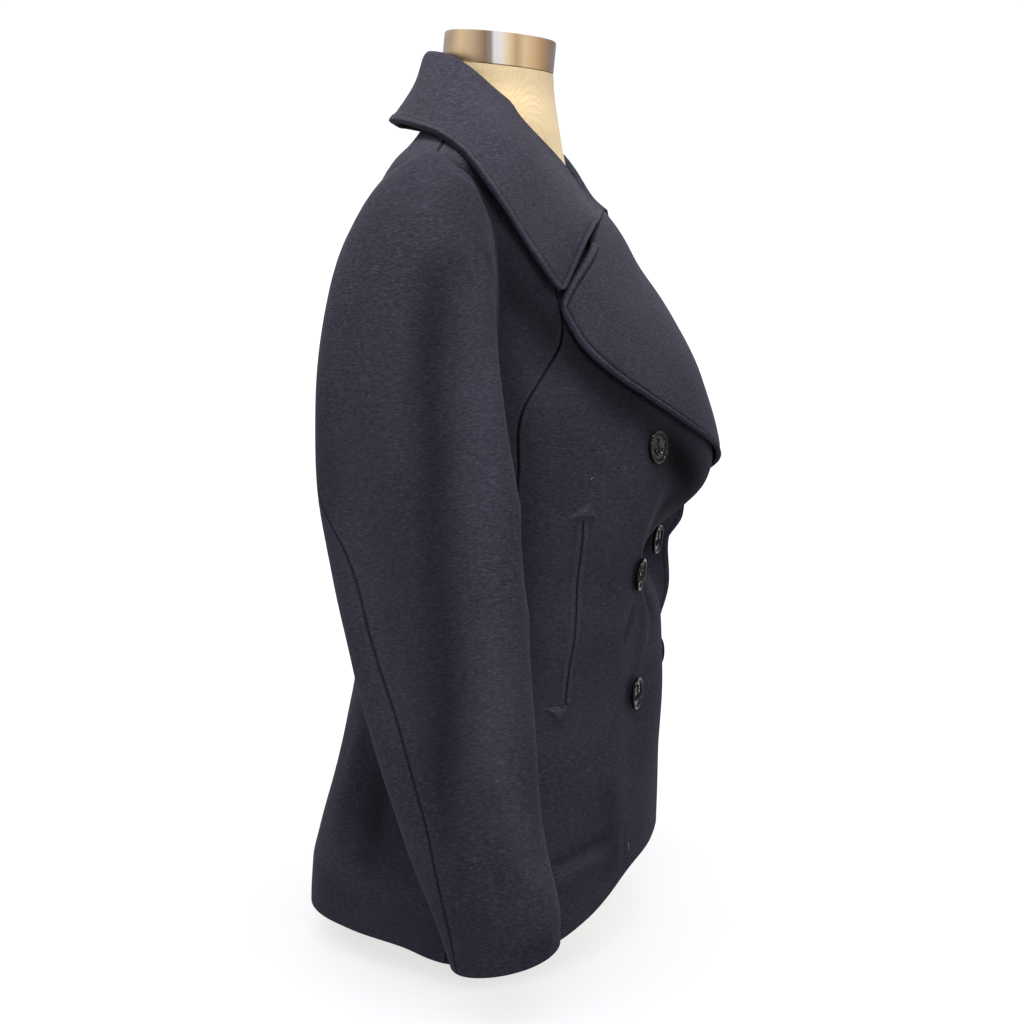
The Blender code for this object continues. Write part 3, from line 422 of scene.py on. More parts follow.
def armhole_u(z, edge):
    """The armhole's front or back edge; 1, the side line, above and below it."""
    return np.where((z > UNDERARM_Z) & (z < TIP_Z), ARMHOLE.at(z, edge), 1.0)


def side_borders(z):
    return front_seam_u(z) + front_seam_gap(z), armhole_u(z, "front") - seam_gap(z)


def back_borders(z):
    return armhole_u(z, "back") + seam_gap(z), 2.0 - seam_gap(z)


def mirrored(borders):
    def left_borders(z):
        first, last = borders(z)
        return -first, -last
    return left_borders


# ---------------------------------------------------------------- meshes
STITCH_IN = 0.65      # row of stitches, in from a finished edge
# Distances of the grid's lines from each kind of edge.
STITCHED = [0.0, 0.015, 0.04, 0.08, 0.13, 0.20, 0.30, 0.40, 0.49, 0.56, 0.61, 0.65, 0.69, 0.74, 0.82, 0.95,
            1.15]
SEAM = [0.0, 0.012, 0.035, 0.07, 0.12, 0.20, 0.32, 0.50]
FREE = [0.0, 0.015, 0.04, 0.08, 0.13, 0.20, 0.30, 0.45, 0.65]
STEPS_FOR = {"seam": SEAM, "free": FREE, "stitched": STITCHED}
STITCH_AT = STITCHED.index(STITCH_IN)
# Painted shade darkens the cloth in a seam and in a row of stitches, and a painted highlight makes the cloth
# beside a seam and the rolled band between an edge and its stitches paler: how much, at what distance, over
# what width.
EDGE_PAINTED_SHADING = {
    "seam": [(-0.62, 0.0, 0.11), (0.10, 0.30, 0.10)],
    "stitched": [(0.26, 0.34, 0.17), (-0.45, STITCH_IN, 0.10)],
    "free": [],
}
EDGE_REACH = 0.52     # share of the wall over which an open edge rounds off
EDGE_DEPTH = 0.46
BEAD = 0.13           # how far the band outside the stitches swells
GROOVE = 0.10         # how deep the stitches pull the cloth in
GROOVE_WIDTH = 0.13
SEAM_ROUND = 0.20     # how far from a seam the cloth starts to turn in
SEAM_DEPTH = 0.14
NOTCH_SHARE = 0.38    # the gorge is sewn as far as this share of the lapel's top
NOTCH_ACROSS = 3.25   # and as far as this place across the collar's end
NOTCH_FADE = 0.08     # over which it opens on the lapel, and on the collar
NOTCH_FADE_ACROSS = 0.35


def turned_in(distance, reach, depth):
    """How far a face drops where the cloth rounds off towards its edge."""
    near = np.clip(1.0 - distance / reach, 0.0, 1.0)
    return depth * (1.0 - np.sqrt(np.clip(1.0 - near**2, 0.0, 1.0)))


def edge_profile(kind, distance, wall):
    """Moves of the outer and of the inner face at this distance from an edge."""
    if kind == "seam":
        return -turned_in(distance, SEAM_ROUND, SEAM_DEPTH), 0.0 * distance
    inner = turned_in(distance, wall * EDGE_REACH, wall * EDGE_DEPTH)
    outer = -inner
    if kind == "stitched":
        inside = np.clip(distance / STITCH_IN, 0.0, 1.0)
        outer = outer + BEAD * np.sin(math.pi * inside) ** 0.8
        outer = outer - GROOVE * bump(distance, STITCH_IN, GROOVE_WIDTH)
    return outer, inner


def edged(painted_shading, edges, wall, lift=0.0):
    """Moves of the outer and of the inner face, and the painted shading, with every edge (kind, distance)."""
    outer, inner = lift + 0.0 * painted_shading, 0.0 * painted_shading - lift
    for kind, distance in edges:
        more_out, more_in = edge_profile(kind, distance, wall)
        outer, inner, painted_shading = outer + more_out, inner + more_in, painted_shading + bumps(distance, EDGE_PAINTED_SHADING[kind])
    return outer, inner, painted_shading


def laid_out(surface, first, last, b, kinds, step, shift=None):
    """Columns for each row b of surface(a, b), from a = first to a = last.

    Columns keep set distances from both edges and are evenly spread between.
    Gives a, and the distance from either edge, for each place of the grid."""
    sides = [np.array(STEPS_FOR[k]) for k in kinds]
    probe = np.linspace(0.0, 1.0, 49)[None, :]
    a_probe = first[:, None] * (1.0 - probe) + last[:, None] * probe
    b_probe = b[:, None] + 0.0 * a_probe
    if shift:
        b_probe = shift(a_probe, b_probe)
    run = run_along(surface(a_probe, b_probe))
    widths = run[:, -1]
    middle = max(2, int(round((np.median(widths) - sides[0][-1] - sides[1][-1]) / step)))
    a, near, far = [], [], []
    for i, width in enumerate(widths):
        squeeze = min(1.0, width / (1.25 * (sides[0][-1] + sides[1][-1])))
        left, right = sides[0] * squeeze, width - sides[1][::-1] * squeeze
        inner = np.linspace(left[-1], right[0], middle + 1)[1:-1]
        at = np.concatenate([left, inner, right])
        a.append(np.interp(at, run[i], a_probe[i]))
        near.append(at)
        far.append(width - at)
    return np.array(a), np.array(near), np.array(far)


def place_mesh(name, points, faces, uv=None):
    mesh = bpy.data.meshes.new(name)
    mesh.vertices.add(len(points))
    mesh.vertices.foreach_set("co", np.asarray(points, np.float32).ravel())
    mesh.loops.add(faces.size)
    mesh.loops.foreach_set("vertex_index", faces.astype(np.int32).ravel())
    mesh.polygons.add(len(faces))
    mesh.polygons.foreach_set("loop_start", np.arange(0, faces.size, faces.shape[1], dtype=np.int32))
    mesh.update(calc_edges=True)
    if uv is not None:
        layer = mesh.uv_layers.new(name="cloth")
        layer.data.foreach_set("uv", np.asarray(uv, np.float32)[faces.ravel()].ravel())
    mesh.shade_smooth()
    return mesh


def grid_quads(rows, columns, start):
    i = start + np.arange((rows - 1) * columns).reshape(rows - 1, columns)[:, :-1]
    return np.stack([i, i + 1, i + columns + 1, i + columns], axis=-1).reshape(-1, 4)


def ring_quads(rings, sides):
    """Quads between closed rings of points, from each ring to the next."""
    i = np.arange(rings * sides).reshape(rings, sides)
    n = np.roll(i, -1, axis=1)
    return np.stack([i[:-1], n[:-1], n[1:], i[1:]], axis=-1).reshape(-1, 4)


def joined(parts):
    """One body of points and quads from several."""
    points, faces, start = [], [], 0
    for p, f in parts:
        points.append(p)
        faces.append(f + start)
        start += len(p)
    return np.concatenate(points), np.concatenate(faces)


def put_in_scene(name, mesh, finish):
    piece = bpy.data.objects.new(name, mesh)
    mesh.materials.append(finish)
    bpy.context.scene.collection.objects.link(piece)
    return piece


def belong(piece):
    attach(piece, "root")
    return piece


def stand_for(piece, node):
    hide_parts(node)
    return belong(piece)


def cloth_uv(u, z):
    return np.stack([u * QUARTER_LENGTH, z], axis=-1)


def add_shell(name, outer, inner, finish, uv, painted_shading):
    """A closed sheet of cloth between two grids of points, in centimetres.

    The painted shading is above 0 where a highlight is painted paler into the cloth's colour and below 0
    where shade is painted darker."""
    rows, columns = outer.shape[:2]
    count = rows * columns
    points = np.concatenate([outer.reshape(-1, 3), inner.reshape(-1, 3)]) * CM
    ring = np.concatenate([
        np.arange(columns), np.arange(1, rows) * columns + columns - 1,
        (rows - 1) * columns + np.arange(columns - 2, -1, -1), np.arange(rows - 2, 0, -1) * columns])
    after = np.roll(ring, -1)
    rim = np.stack([after, ring, ring + count, after + count], axis=-1)
    faces = np.concatenate([grid_quads(rows, columns, 0), grid_quads(rows, columns, count)[:, ::-1], rim])
    corners = points[faces]
    volume = np.einsum("ij,ij->i", corners[:, 0], np.cross(corners[:, 1], corners[:, 2])).sum()
    volume += np.einsum("ij,ij->i", corners[:, 0], np.cross(corners[:, 2], corners[:, 3])).sum()
    if volume < 0.0:
        faces = faces[:, ::-1]
    uv = np.concatenate([uv.reshape(-1, 2)] * 2) * CM
    piece = put_in_scene(name, place_mesh(name, points, faces, uv), finish)
    values = np.concatenate([painted_shading.ravel()] * 2).astype(np.float32)
    piece.data.attributes.new("painted_shading", "FLOAT", "POINT").data.foreach_set("value", values)
    return piece


# ---------------------------------------------------------------- stitches
STITCH_LONG = 0.26
STITCH_PITCH = 0.36
STITCH_RADIUS = 0.028
STITCH_RISE = 0.02    # how far a stitch's middle arches up
STITCH_RINGS = [(0.0, 0.25), (0.12, 0.8), (0.5, 1.0), (0.88, 0.8), (1.0, 0.25)]   # place, thickness
STITCH_SIDES = 6
HEM_ROWS = 4          # rows of the grid at the hem that the front's stitches leave free
BELOW_BREAK = 0.6     # and where they end


def stitch_row(path, normals):
    """Thread capsules along a path on the cloth; points and quads."""
    run = run_along(path)
    starts = np.arange(STITCH_PITCH / 2.0, run[-1] - STITCH_PITCH, STITCH_PITCH)
    shares, sizes = np.array(STITCH_RINGS).T
    at = starts[:, None] + shares[None, :] * STITCH_LONG
    centre, up = (np.stack([np.interp(at, run, v[:, i]) for i in range(3)], axis=-1) for v in (path, normals))
    up = unit(up)
    side = np.cross(unit(np.gradient(centre, axis=1)), up)
    centre = centre + up * (np.sin(math.pi * shares) * STITCH_RISE)[None, :, None]
    turn = full_turn(STITCH_SIDES)
    around = up[:, :, None, :] * np.cos(turn)[:, None] + side[:, :, None, :] * np.sin(turn)[:, None]
    points = centre[:, :, None, :] + around * (sizes * STITCH_RADIUS)[None, :, None, None]
    count, rings = points.shape[:2]
    top = (rings - 1) * STITCH_SIDES
    ends = [(0, 5, 4, 3), (0, 3, 2, 1), (top, top + 1, top + 2, top + 3), (top, top + 3, top + 4, top + 5)]
    faces = np.concatenate([ring_quads(rings, STITCH_SIDES), ends])
    faces = faces[None] + (np.arange(count) * rings * STITCH_SIDES)[:, None, None]
    return points.reshape(-1, 3), faces.reshape(-1, 4)


def add_stitches(name, rows, finish):
    points, faces = joined([stitch_row(path, normals) for path, normals in rows])
    return belong(put_in_scene(name, place_mesh(name, points * CM, faces), finish))


def grid_normals(points):
    across = np.gradient(points, axis=1)
    along = np.gradient(points, axis=0)
    n = np.cross(along, across)
    return n / np.maximum(np.linalg.norm(n, axis=-1, keepdims=True), 1e-9)


# ---------------------------------------------------------------- body panels
STEP = 0.42           # spacing of the grid away from edges


def body_heights(top):
    """Row heights, close together where the cloth turns at the hem and the armhole."""
    hem = [HEM_Z + d for d in FREE]
    plain = list(np.arange(HEM_Z + 1.0, UNDERARM_Z - 0.5, STEP))
    turn = [UNDERARM_Z + d for d in (-0.35, -0.2, -0.1, 0.0, 0.04, 0.1, 0.2, 0.32, 0.46, 0.6, 0.8, 1.05, 1.3)]
    arm = list(np.arange(UNDERARM_Z + 1.7, TIP_Z - 1.0, STEP))
    tip = [TIP_Z - d for d in (0.85, 0.6, 0.4, 0.25, 0.14, 0.06, 0.02, 0.0)]
    over = list(np.arange(TIP_Z + 0.15, top - 0.25, 0.3)) + [top - 0.12, top - 0.05, top]
    return np.array(hem + plain + turn + arm + tip + over)


def add_panel(name, surface, borders, top, kinds, finish):
    heights = body_heights(top)
    first, last = borders(heights)
    u, near, far = laid_out(surface, first, last, heights, kinds, STEP, hem_height)
    z = hem_height(u, heights[:, None] + 0.0 * u)
    low = np.clip(heights[:, None] - HEM_Z, 0.0, None) + 0.0 * u
    edges = [(kinds[0], near), (kinds[1], far), ("free", low)]
    out, back_out, painted_shading = edged(body_creases(u, z, 1), edges, WALL)
    outer, inner = surface(u, z, out), surface(u, z, back_out - WALL)
    return add_shell(name, outer, inner, finish, cloth_uv(u, z), painted_shading), outer


# ---------------------------------------------------------------- sleeves
SLEEVE = Table("z f x long thick tilt drop", [
    (4.7, 5.05, 26.9, 4.10, 4.3, 12.5, 0.1),
    (7.0, 4.70, 26.9, 4.45, 4.4, 12.0, 0.1),
    (12.0, 3.15, 26.6, 4.80, 4.5, 11.0, 0.0),
    (19.0, 1.40, 26.0, 5.75, 4.6, 9.5, 0.0),
    (26.0, 0.13, 25.4, 6.50, 4.7, 8.0, 0.0),
    (33.0, -1.08, 24.9, 7.10, 4.8, 7.0, 0.0),
    (40.0, -2.12, 24.4, 7.38, 4.8, 6.0, 0.0),
    (46.0, -2.80, 23.9, 7.20, 4.7, 5.0, 0.0),
])
CAP_Z = 42.5          # lowest ring of the cap, where the straight tube starts
CUFF_Z = SLEEVE.key[0]
CUFF_LENGTH = 16.0    # round the cuff
SLEEVE_GAP = 0.06     # between the sleeve and the armhole's edge
CAP_SHARE = 0.42      # share of the sleeve's length parameter spent on the cap
CAP_LONG = 24.0       # lengths of the cap and of the tube below it
TUBE_LONG = 38.0
# Where the cap starts, its cloth goes outwards, up and, on either side of the
# tip, forward or back; it keeps that way, and the tube's, for some distance.
CAP_OUT = 0.93
CAP_UP = 0.10
CAP_FORWARD = -0.05
CAP_BACK = 0.70
CAP_REACH = 1.0       # least distance, and what the tip and the back add
CAP_REACH_TIP = 4.2
CAP_REACH_BACK = 1.1
TUBE_REACH = 2.2
TUBE_REACH_TIP = 9.8
DEEPEST = 1.1 * SEAM_DEPTH   # where two of the sleeve's seams meet
FORE_SEAM_Z = 51.0    # where the inner front seam starts on the armhole
HIND_SEAM = Table("t turn", [
    (0.0, 0.8012), (0.30, 0.785), (0.42, 0.780), (0.50, 0.866), (0.60, 0.888), (0.66, 0.898), (0.72, 0.913),
    (0.78, 0.922), (0.83, 0.923), (0.88, 0.908), (0.94, 0.882), (1.0, 0.855)])
SLEEVE_FOLDS = [
    # turn, width, t_low, t_high, depth
    (0.00, 0.035, 0.05, 1.05, -0.55),
    (0.09, 0.040, 0.00, 0.85, 0.25),
    (-0.09, 0.045, 0.10, 0.95, 0.30),
]


def tube(turn, z):
    """Ring point of the straight part: turn 0 is outside, 0.25 in front."""
    a = turn * 2.0 * math.pi
    tilt = np.radians(SLEEVE.at(z, "tilt"))
    ahead = SLEEVE.at(z, "long") * np.sin(a)
    x = SLEEVE.at(z, "x") + SLEEVE.at(z, "thick") * np.cos(a)
    rise = ahead * np.sin(tilt) - SLEEVE.at(z, "drop") * np.cos(a)
    return np.stack([-x, -(SLEEVE.at(z, "f") + ahead * np.cos(tilt)), z + rise], axis=-1)


def armhole_point(turn):
    """The armhole's edge on the body, from the tip round the front."""
    turn = np.mod(turn, 1.0)
    drop = (1.0 - np.cos(2.0 * math.pi * turn)) / 2.0
    z = TIP_Z - (TIP_Z - UNDERARM_Z) * drop
    ahead = turn <= 0.5
    u = np.where(ahead, ARMHOLE.at(z, "front") + seam_gap(z), ARMHOLE.at(z, "back") - seam_gap(z))
    return body(u, z, 0.0, 0.0)


def sleeve_point(turn, t):
    turn, t = np.broadcast_arrays(np.asarray(turn, float), np.asarray(t, float))
    cap = np.clip(t / CAP_SHARE, 0.0, 1.0)
    low = CAP_Z + 0.0 * t
    end = tube(turn, low)
    up = unit(tube(turn, low + 0.5) - tube(turn, low - 0.5))
    top = (1.0 + np.cos(2.0 * math.pi * turn)) / 2.0
    forward = np.sin(2.0 * math.pi * turn)
    ahead = np.where(forward > 0.0, CAP_FORWARD, CAP_BACK) * forward
    way = np.stack([-CAP_OUT + 0.0 * turn, -ahead, CAP_UP * np.cos(2.0 * math.pi * turn)], axis=-1)
    start = armhole_point(turn) + way * SLEEVE_GAP
    reach = (CAP_REACH + CAP_REACH_TIP * top + CAP_REACH_BACK * np.clip(-forward, 0.0, 1.0))[..., None]
    p1, p2 = start + way * reach, end + up * (TUBE_REACH + TUBE_REACH_TIP * top)[..., None]
    c = cap[..., None]
    curve = ((1 - c) ** 3 * start + 3 * (1 - c) ** 2 * c * p1 + 3 * (1 - c) * c**2 * p2 + c**3 * end)
    down = np.clip((t - CAP_SHARE) / (1.0 - CAP_SHARE), 0.0, 1.0)
    ring = tube(turn, CAP_Z - (CAP_Z - CUFF_Z) * down)
    return np.where((t <= CAP_SHARE)[..., None], curve, ring)


def from_outside(turn):
    """Turn as a share of the round, from -0.5 to 0.5, with 0 outside."""
    return np.mod(turn + 0.5, 1.0) - 0.5


def sleeve_fold(turn, t):
    return sum(fold_row(from_outside(turn), t, *row) for row in SLEEVE_FOLDS)


def sleeve_creases(turn, t, column=0):
    """Depth of the creases, or with column 1 their painted shade and highlight."""
    total = np.zeros(np.shape(turn))
    a, b = from_outside(turn) * SLEEVE_ROUND, t * SLEEVE_LONG
    for row in SLEEVE_CREASES:
        places = [(p * SLEEVE_ROUND, q * SLEEVE_LONG) for p, q in row[3]]
        total = total + crease_depth(places, row[column], row[2], a, b)
    return total


def sleeve(turn, t, out=0.0):
    turn, t = np.broadcast_arrays(np.asarray(turn, float), np.asarray(t, float))
    edge = 0.004
    t_in = np.clip(t, edge, 1.0 - edge)
    normal = -normal_of(sleeve_point, turn, t_in, 0.002, 0.002)
    points = sleeve_point(turn, t)
    soft = sleeve_fold(turn, t) + (sleeve_creases(turn, t) + uneven(points)) * smooth(t / 0.03)
    return points + normal * (out + soft)[..., None]


def armhole_turn(z):
    """Turn of the armhole's front edge at this height."""
    return np.arccos(np.clip(1.0 - 2.0 * (TIP_Z - z) / (TIP_Z - UNDERARM_Z), -1.0, 1.0)) / (2.0 * math.pi)


def sleeve_rows():
    tube_share = 1.0 - CAP_SHARE
    seam = [d / CAP_LONG * CAP_SHARE for d in SEAM]
    cap = list(np.arange(seam[-1] + 0.007, CAP_SHARE - 0.003, STEP / CAP_LONG * CAP_SHARE))
    cuff = [1.0 - d / TUBE_LONG * tube_share for d in STITCHED[::-1]]
    low = list(np.arange(CAP_SHARE, cuff[0] - 0.004, STEP / TUBE_LONG * tube_share))
    return np.array(seam + cap + low + cuff)


def add_sleeves(finish):
    t = sleeve_rows()
    hind = HIND_SEAM.at(t, "turn")
    fore = float(armhole_turn(FORE_SEAM_Z)) + 0.0 * t
    gap = GAP / 2.0 / CUFF_LENGTH
    pieces = {}
    for part, first, last in (("top", hind - 1.0 + gap, fore - gap), ("under", fore + gap, hind - gap)):
        turn, near, far = laid_out(sleeve, first, last, t, ("seam", "seam"), STEP)
        rows = t[:, None] + 0.0 * turn
        to_cuff = (1.0 - rows) / (1.0 - CAP_SHARE) * TUBE_LONG
        to_cap = rows / CAP_SHARE * CAP_LONG
        edges = [("seam", near), ("seam", far), ("seam", to_cap), ("free", to_cuff)]
        out, back_out, painted_shading = edged(sleeve_creases(turn, rows, 1), edges, WALL)
        outer = sleeve(turn, rows, np.maximum(out, -DEEPEST))
        inner = sleeve(turn, rows, back_out - WALL)
        uv = np.stack([turn * SLEEVE_ROUND, -rows * SLEEVE_LONG], axis=-1)
        for side, flip in (("right", 1.0), ("left", -1.0)):
            way = np.array([flip, 1.0, 1.0])
            name = "sleeve_%s_%s" % (part, side)
            piece = add_shell(name + "_cloth", outer * way, inner * way, finish, uv, painted_shading)
            pieces[name] = stand_for(piece, name)
    return pieces


# ---------------------------------------------------------------- collar
COLLAR = Table("t nx nf nz rx rf rz mx mf mz ex ef ez", [
    (0.00, 0.0, -5.3, 70.95, 0.0, -4.85, 75.7, 0.0, -6.0, 72.9, 0.0, -8.05, 69.75),
    (0.15, 3.2, -4.8, 70.95, 3.3, -4.4, 75.6, 4.6, -5.6, 72.8, 5.35, -7.52, 69.78),
    (0.30, 5.75, -3.2, 70.95, 5.3, -2.6, 75.0, 8.5, -3.8, 72.3, 10.75, -5.22, 69.32),
    (0.45, 7.05, -0.9, 71.0, 6.4, -0.6, 73.7, 11.3, -1.1, 71.3, 15.6, -1.9, 68.2),
    (0.60, 6.95, 1.6, 71.0, 6.5, 1.7, 71.6, 12.8, 1.9, 69.4, 18.5, 0.9, 66.2),
    (0.72, 6.55, 3.4, 69.5, 6.0, 4.1, 69.1, 12.7, 4.3, 66.9, 19.2, 3.0, 63.6),
    (0.84, 5.6, 4.7, 66.9, 4.5, 6.6, 66.3, 11.8, 6.8, 63.7, 17.7, 5.2, 59.9),
    (0.93, 4.0, 7.3, 64.2, 3.1, 8.5, 63.6, 11.2, 8.6, 61.4, 16.6, 6.9, 57.2),
    (1.00, 2.1, 9.2, 62.2, 1.8, 9.9, 62.3, 10.4, 9.6, 60.0, 15.4, 8.0, 55.5),
])
COLLAR_ROLL = 0.45    # half thickness of the rolled top
COLLAR_UNEVEN = 0.7   # share of the hung cloth's unevenness on the fall
COLLAR_END = 34.0     # length that t stands for along the outer edge, near the ends
CORNER = 1.1          # radius of the rounded collar tips and lapel peaks


def collar_knots(t):
    side = np.where(t < 0.0, 1.0, -1.0)
    at = {k: COLLAR.at(np.abs(t), k) for k in COLLAR.names[1:]}
    n, r, m, e = (np.stack([side * at[k + "x"], -at[k + "f"], at[k + "z"]], axis=-1) for k in "nrme")
    fall, stand = unit(m - r), unit(n - r)
    out, down = unit(fall - stand), unit(fall + stand)
    return [n, r + (down - out) * COLLAR_ROLL, r, r + (down + out) * COLLAR_ROLL, m, e]


def collar_point(across, t):
    """across runs 0 at the neck seam, 2 on the roll, 4 mid fall, 5 at the edge."""
    knots = collar_knots(t)
    slopes = [knots[1] - knots[0]]
    slopes += [(b - a) / 2.0 for a, b in zip(knots[:-2], knots[2:])]
    slopes += [knots[-1] - knots[-2]]
    result = np.zeros(knots[0].shape)
    for i in range(len(knots) - 1):
        w = (across - i)[..., None]
        inside = (w >= 0.0) & (w <= 1.0) if i == 0 else (w > 0.0) & (w <= 1.0)
        w = np.clip(w, 0.0, 1.0)
        piece = hermite(w, knots[i], slopes[i], knots[i + 1], slopes[i + 1])
        result = np.where(inside, piece, result)
    return result


def collar(across, t, out=0.0):
    edge = 0.01
    a_in = np.clip(across, edge, 5.0 - edge)
    t_in = np.clip(t, -1.0 + edge, 1.0 - edge)
    normal = normal_of(collar_point, a_in, t_in, 0.008, 0.008)
    points = collar_point(across, t)
    soft = COLLAR_UNEVEN * uneven(points) * smooth((across - 2.0) / 1.5)
    return points + normal * (out + soft)[..., None]


def rounded_corner(p, q, radius):
    """Moves places near a square corner so that its edge becomes an arc.

    p and q are the distances from the two edges; gives the new ones."""
    a, b = np.clip((radius - p) / radius, 0.0, 1.0), np.clip((radius - q) / radius, 0.0, 1.0)
    inside = (a > 0.0) & (b > 0.0)
    new_p = radius * (1.0 - a * np.sqrt(1.0 - b * b / 2.0))
    new_q = radius * (1.0 - b * np.sqrt(1.0 - a * a / 2.0))
    return np.where(inside, new_p, p), np.where(inside, new_q, q)


ROLL_FROM, ROLL_TO = 1.0, 3.2   # places across the collar with close columns
ROLL_COLUMNS = 40
FALL_COLUMNS = 34
EDGE_STEP = 0.40      # spacing of the grid on the collar and the lapels
OUT_OF_REACH = 4.0    # a distance at which an edge no longer shapes the cloth
PUFF, PUFF_IN, PUFF_END = 0.15, 1.0, 0.80   # the outer edge is padded at the back of the neck


def collar_columns(t_row):
    """Places across the collar for each row, and how far each is from the neck seam and the outer edge."""
    probe = np.linspace(0.0, 5.0, 301)[None, :] + 0.0 * t_row[:, None]
    run = run_along(collar_point(probe, t_row[:, None] + 0.0 * probe))
    ends = np.array(STITCHED)
    roll = [np.linspace(0.0, ROLL_FROM, 9)[:-1], np.linspace(ROLL_FROM, ROLL_TO, ROLL_COLUMNS)]
    across, near, far = [], [], []
    for places, lengths in zip(probe, run):
        start = np.interp(ROLL_TO, places, lengths)
        fall = np.linspace(start, lengths[-1] - ends[-1], FALL_COLUMNS)[1:-1]
        at = np.interp(np.concatenate(roll), places, lengths)
        at = np.concatenate([at, fall, lengths[-1] - ends[::-1]])
        across.append(np.interp(at, lengths, places))
        near.append(at)
        far.append(lengths[-1] - at)
    return np.array(across), np.array(near), np.array(far)


def gorge_edges(p, q, sewn):
    """The open edge, at distance p, and the top, at q: a seam where sewn is 1, open where it is 0."""
    open_edge = np.minimum(p, q + OUT_OF_REACH * sewn)
    return [("stitched", open_edge), ("seam", q + OUT_OF_REACH * (1.0 - sewn))]


def face_path(outer, inner, path):
    """Points of the outer face at these (row, column) places, and the normals there."""
    rows, columns = np.array(path).T
    normals = grid_normals(outer)[rows, columns]
    away = outer[rows, columns] - inner[rows, columns]
    sign = np.sign((normals * away).sum(axis=-1, keepdims=True))
    return outer[rows, columns], normals * np.where(sign == 0.0, 1.0, sign)


def add_collar(finish):
    ends = np.array(STITCHED)
    half = np.concatenate([ends, np.arange(ends[-1] + 0.35, COLLAR_END, EDGE_STEP)])
    q_row = np.concatenate([half, [COLLAR_END], half[::-1]])
    sign = np.concatenate([-np.ones(len(half)), [0.0], np.ones(len(half))])
    t_row = sign * (1.0 - q_row / COLLAR_END)
    across, near, far = collar_columns(t_row)
    q, s = q_row[:, None] + 0.0 * across, sign[:, None] + 0.0 * across
    # The ends follow their true length; further in, rows keep their place t.
    last, before = (collar_point(across, place + 0.0 * across) for place in (1.0, 0.98))
    end_long = np.linalg.norm(last - before, axis=-1) / 0.02
    p_new, q_new = rounded_corner(far, q, CORNER)
    local = np.where(s == 0.0, 0.0, s * (1.0 - q_new / end_long))
    blend = smooth((q - 1.2) / 6.0)
    t = local * (1.0 - blend) + blend * t_row[:, None]
    last, before = (collar_point(place + 0.0 * t, t) for place in (5.0, 4.9))
    across = across - (p_new - far) / (np.linalg.norm(last - before, axis=-1) / 0.1)
    sewn = 1.0 - smooth((across - NOTCH_ACROSS) / NOTCH_FADE_ACROSS)
    puff = PUFF * smooth((PUFF_IN - far) / 0.6) * smooth((PUFF_END - np.abs(t)) / 0.30)
    edges = [("seam", near)] + gorge_edges(far, q, sewn)
    out, back_out, painted_shading = edged(np.zeros(t.shape), edges, COLLAR_WALL, puff)
    outer, inner = collar(across, t, out), collar(across, t, back_out - COLLAR_WALL)
    uv = np.stack([t * COLLAR_END, near], axis=-1)
    piece = stand_for(add_shell("collar_cloth", outer, inner, finish, uv, painted_shading), "collar")
    column, row = outer.shape[1] - 1 - STITCH_AT, len(t_row) - 1 - STITCH_AT
    start = int(np.argmax(across[STITCH_AT] > NOTCH_ACROSS + 0.3))
    path = [(STITCH_AT, c) for c in range(start, column)] + [(r, column) for r in range(STITCH_AT, row)]
    path += [(row, c) for c in range(column, start - 1, -1)]
    return piece, [face_path(outer, inner, path)]


# ---------------------------------------------------------------- lapels
LAPEL = Table("t x z", [
    (0.00, -15.1, 53.8), (0.15, -14.1, 51.0), (0.35, -11.6, 48.3), (0.55, -7.4, 45.9),
    (0.75, -1.6, 43.1), (0.90, 4.6, 40.6), (1.00, 9.4, 38.3)])
GORGE = Table("share rise", [
    (0.0, 0.0), (0.3, 1.1), (0.4, 1.2), (0.5, 1.05), (0.68, 0.95), (0.85, 0.6), (1.0, 0.0)])
LAPEL_HEIGHT = 0.90   # height of the roll over the front
LAPEL_EDGE = 0.75     # height of the outer edge's face over the front
UNDER_HEIGHT = 0.56   # the left lapel's height where the right front covers it
ROLL_DEPTH = 0.55     # how far the roll turns past the roll line
LAPEL_LONG = 26.0     # length that t stands for
ROLL_STEPS = 13
LAPEL_LOW = COLLAR_WALL + 5.0 * GAP   # height at the break, where the lapel lies flat
LAPEL_FADE = 0.25     # share of the length over which it comes down to that
GORGE_BEND = 0.6      # share of the length over which the gorge bends the rows
LIFT_FADE = 0.16      # and over which it lifts them
# Brings the lapel's top up to the collar's end.
GORGE_LIFT = Table("share lift", [
    (0.00, 0.50), (0.10, 0.22), (0.30, 0.30), (0.50, 0.35), (0.70, 0.46), (0.90, 0.66), (1.00, 0.62)])
GORGE_FULL = 0.40     # height added to the lapel's top, where it meets the collar


def lapel_height(t):
    return LAPEL_HEIGHT + GORGE_FULL * smooth((0.55 - t) / 0.5)


def lapel_edge(t):
    return LAPEL_EDGE + 0.35 * GORGE_FULL * smooth((0.55 - t) / 0.5)


def lapel_span(t):
    """u and z of the roll line and of the outer edge, and the length between them."""
    roll_z = GORGE_Z + (BREAK_Z - GORGE_Z) * t - GAP * (1.0 - t)
    edge_z = LAPEL.at(t, "z")
    roll_u, edge_u = u_at(ROLL.at(roll_z, "x"), roll_z), u_at(LAPEL.at(t, "x"), edge_z)
    return roll_u, roll_z, edge_u, edge_z, np.hypot((edge_u - roll_u) * QUARTER_LENGTH, edge_z - roll_z)


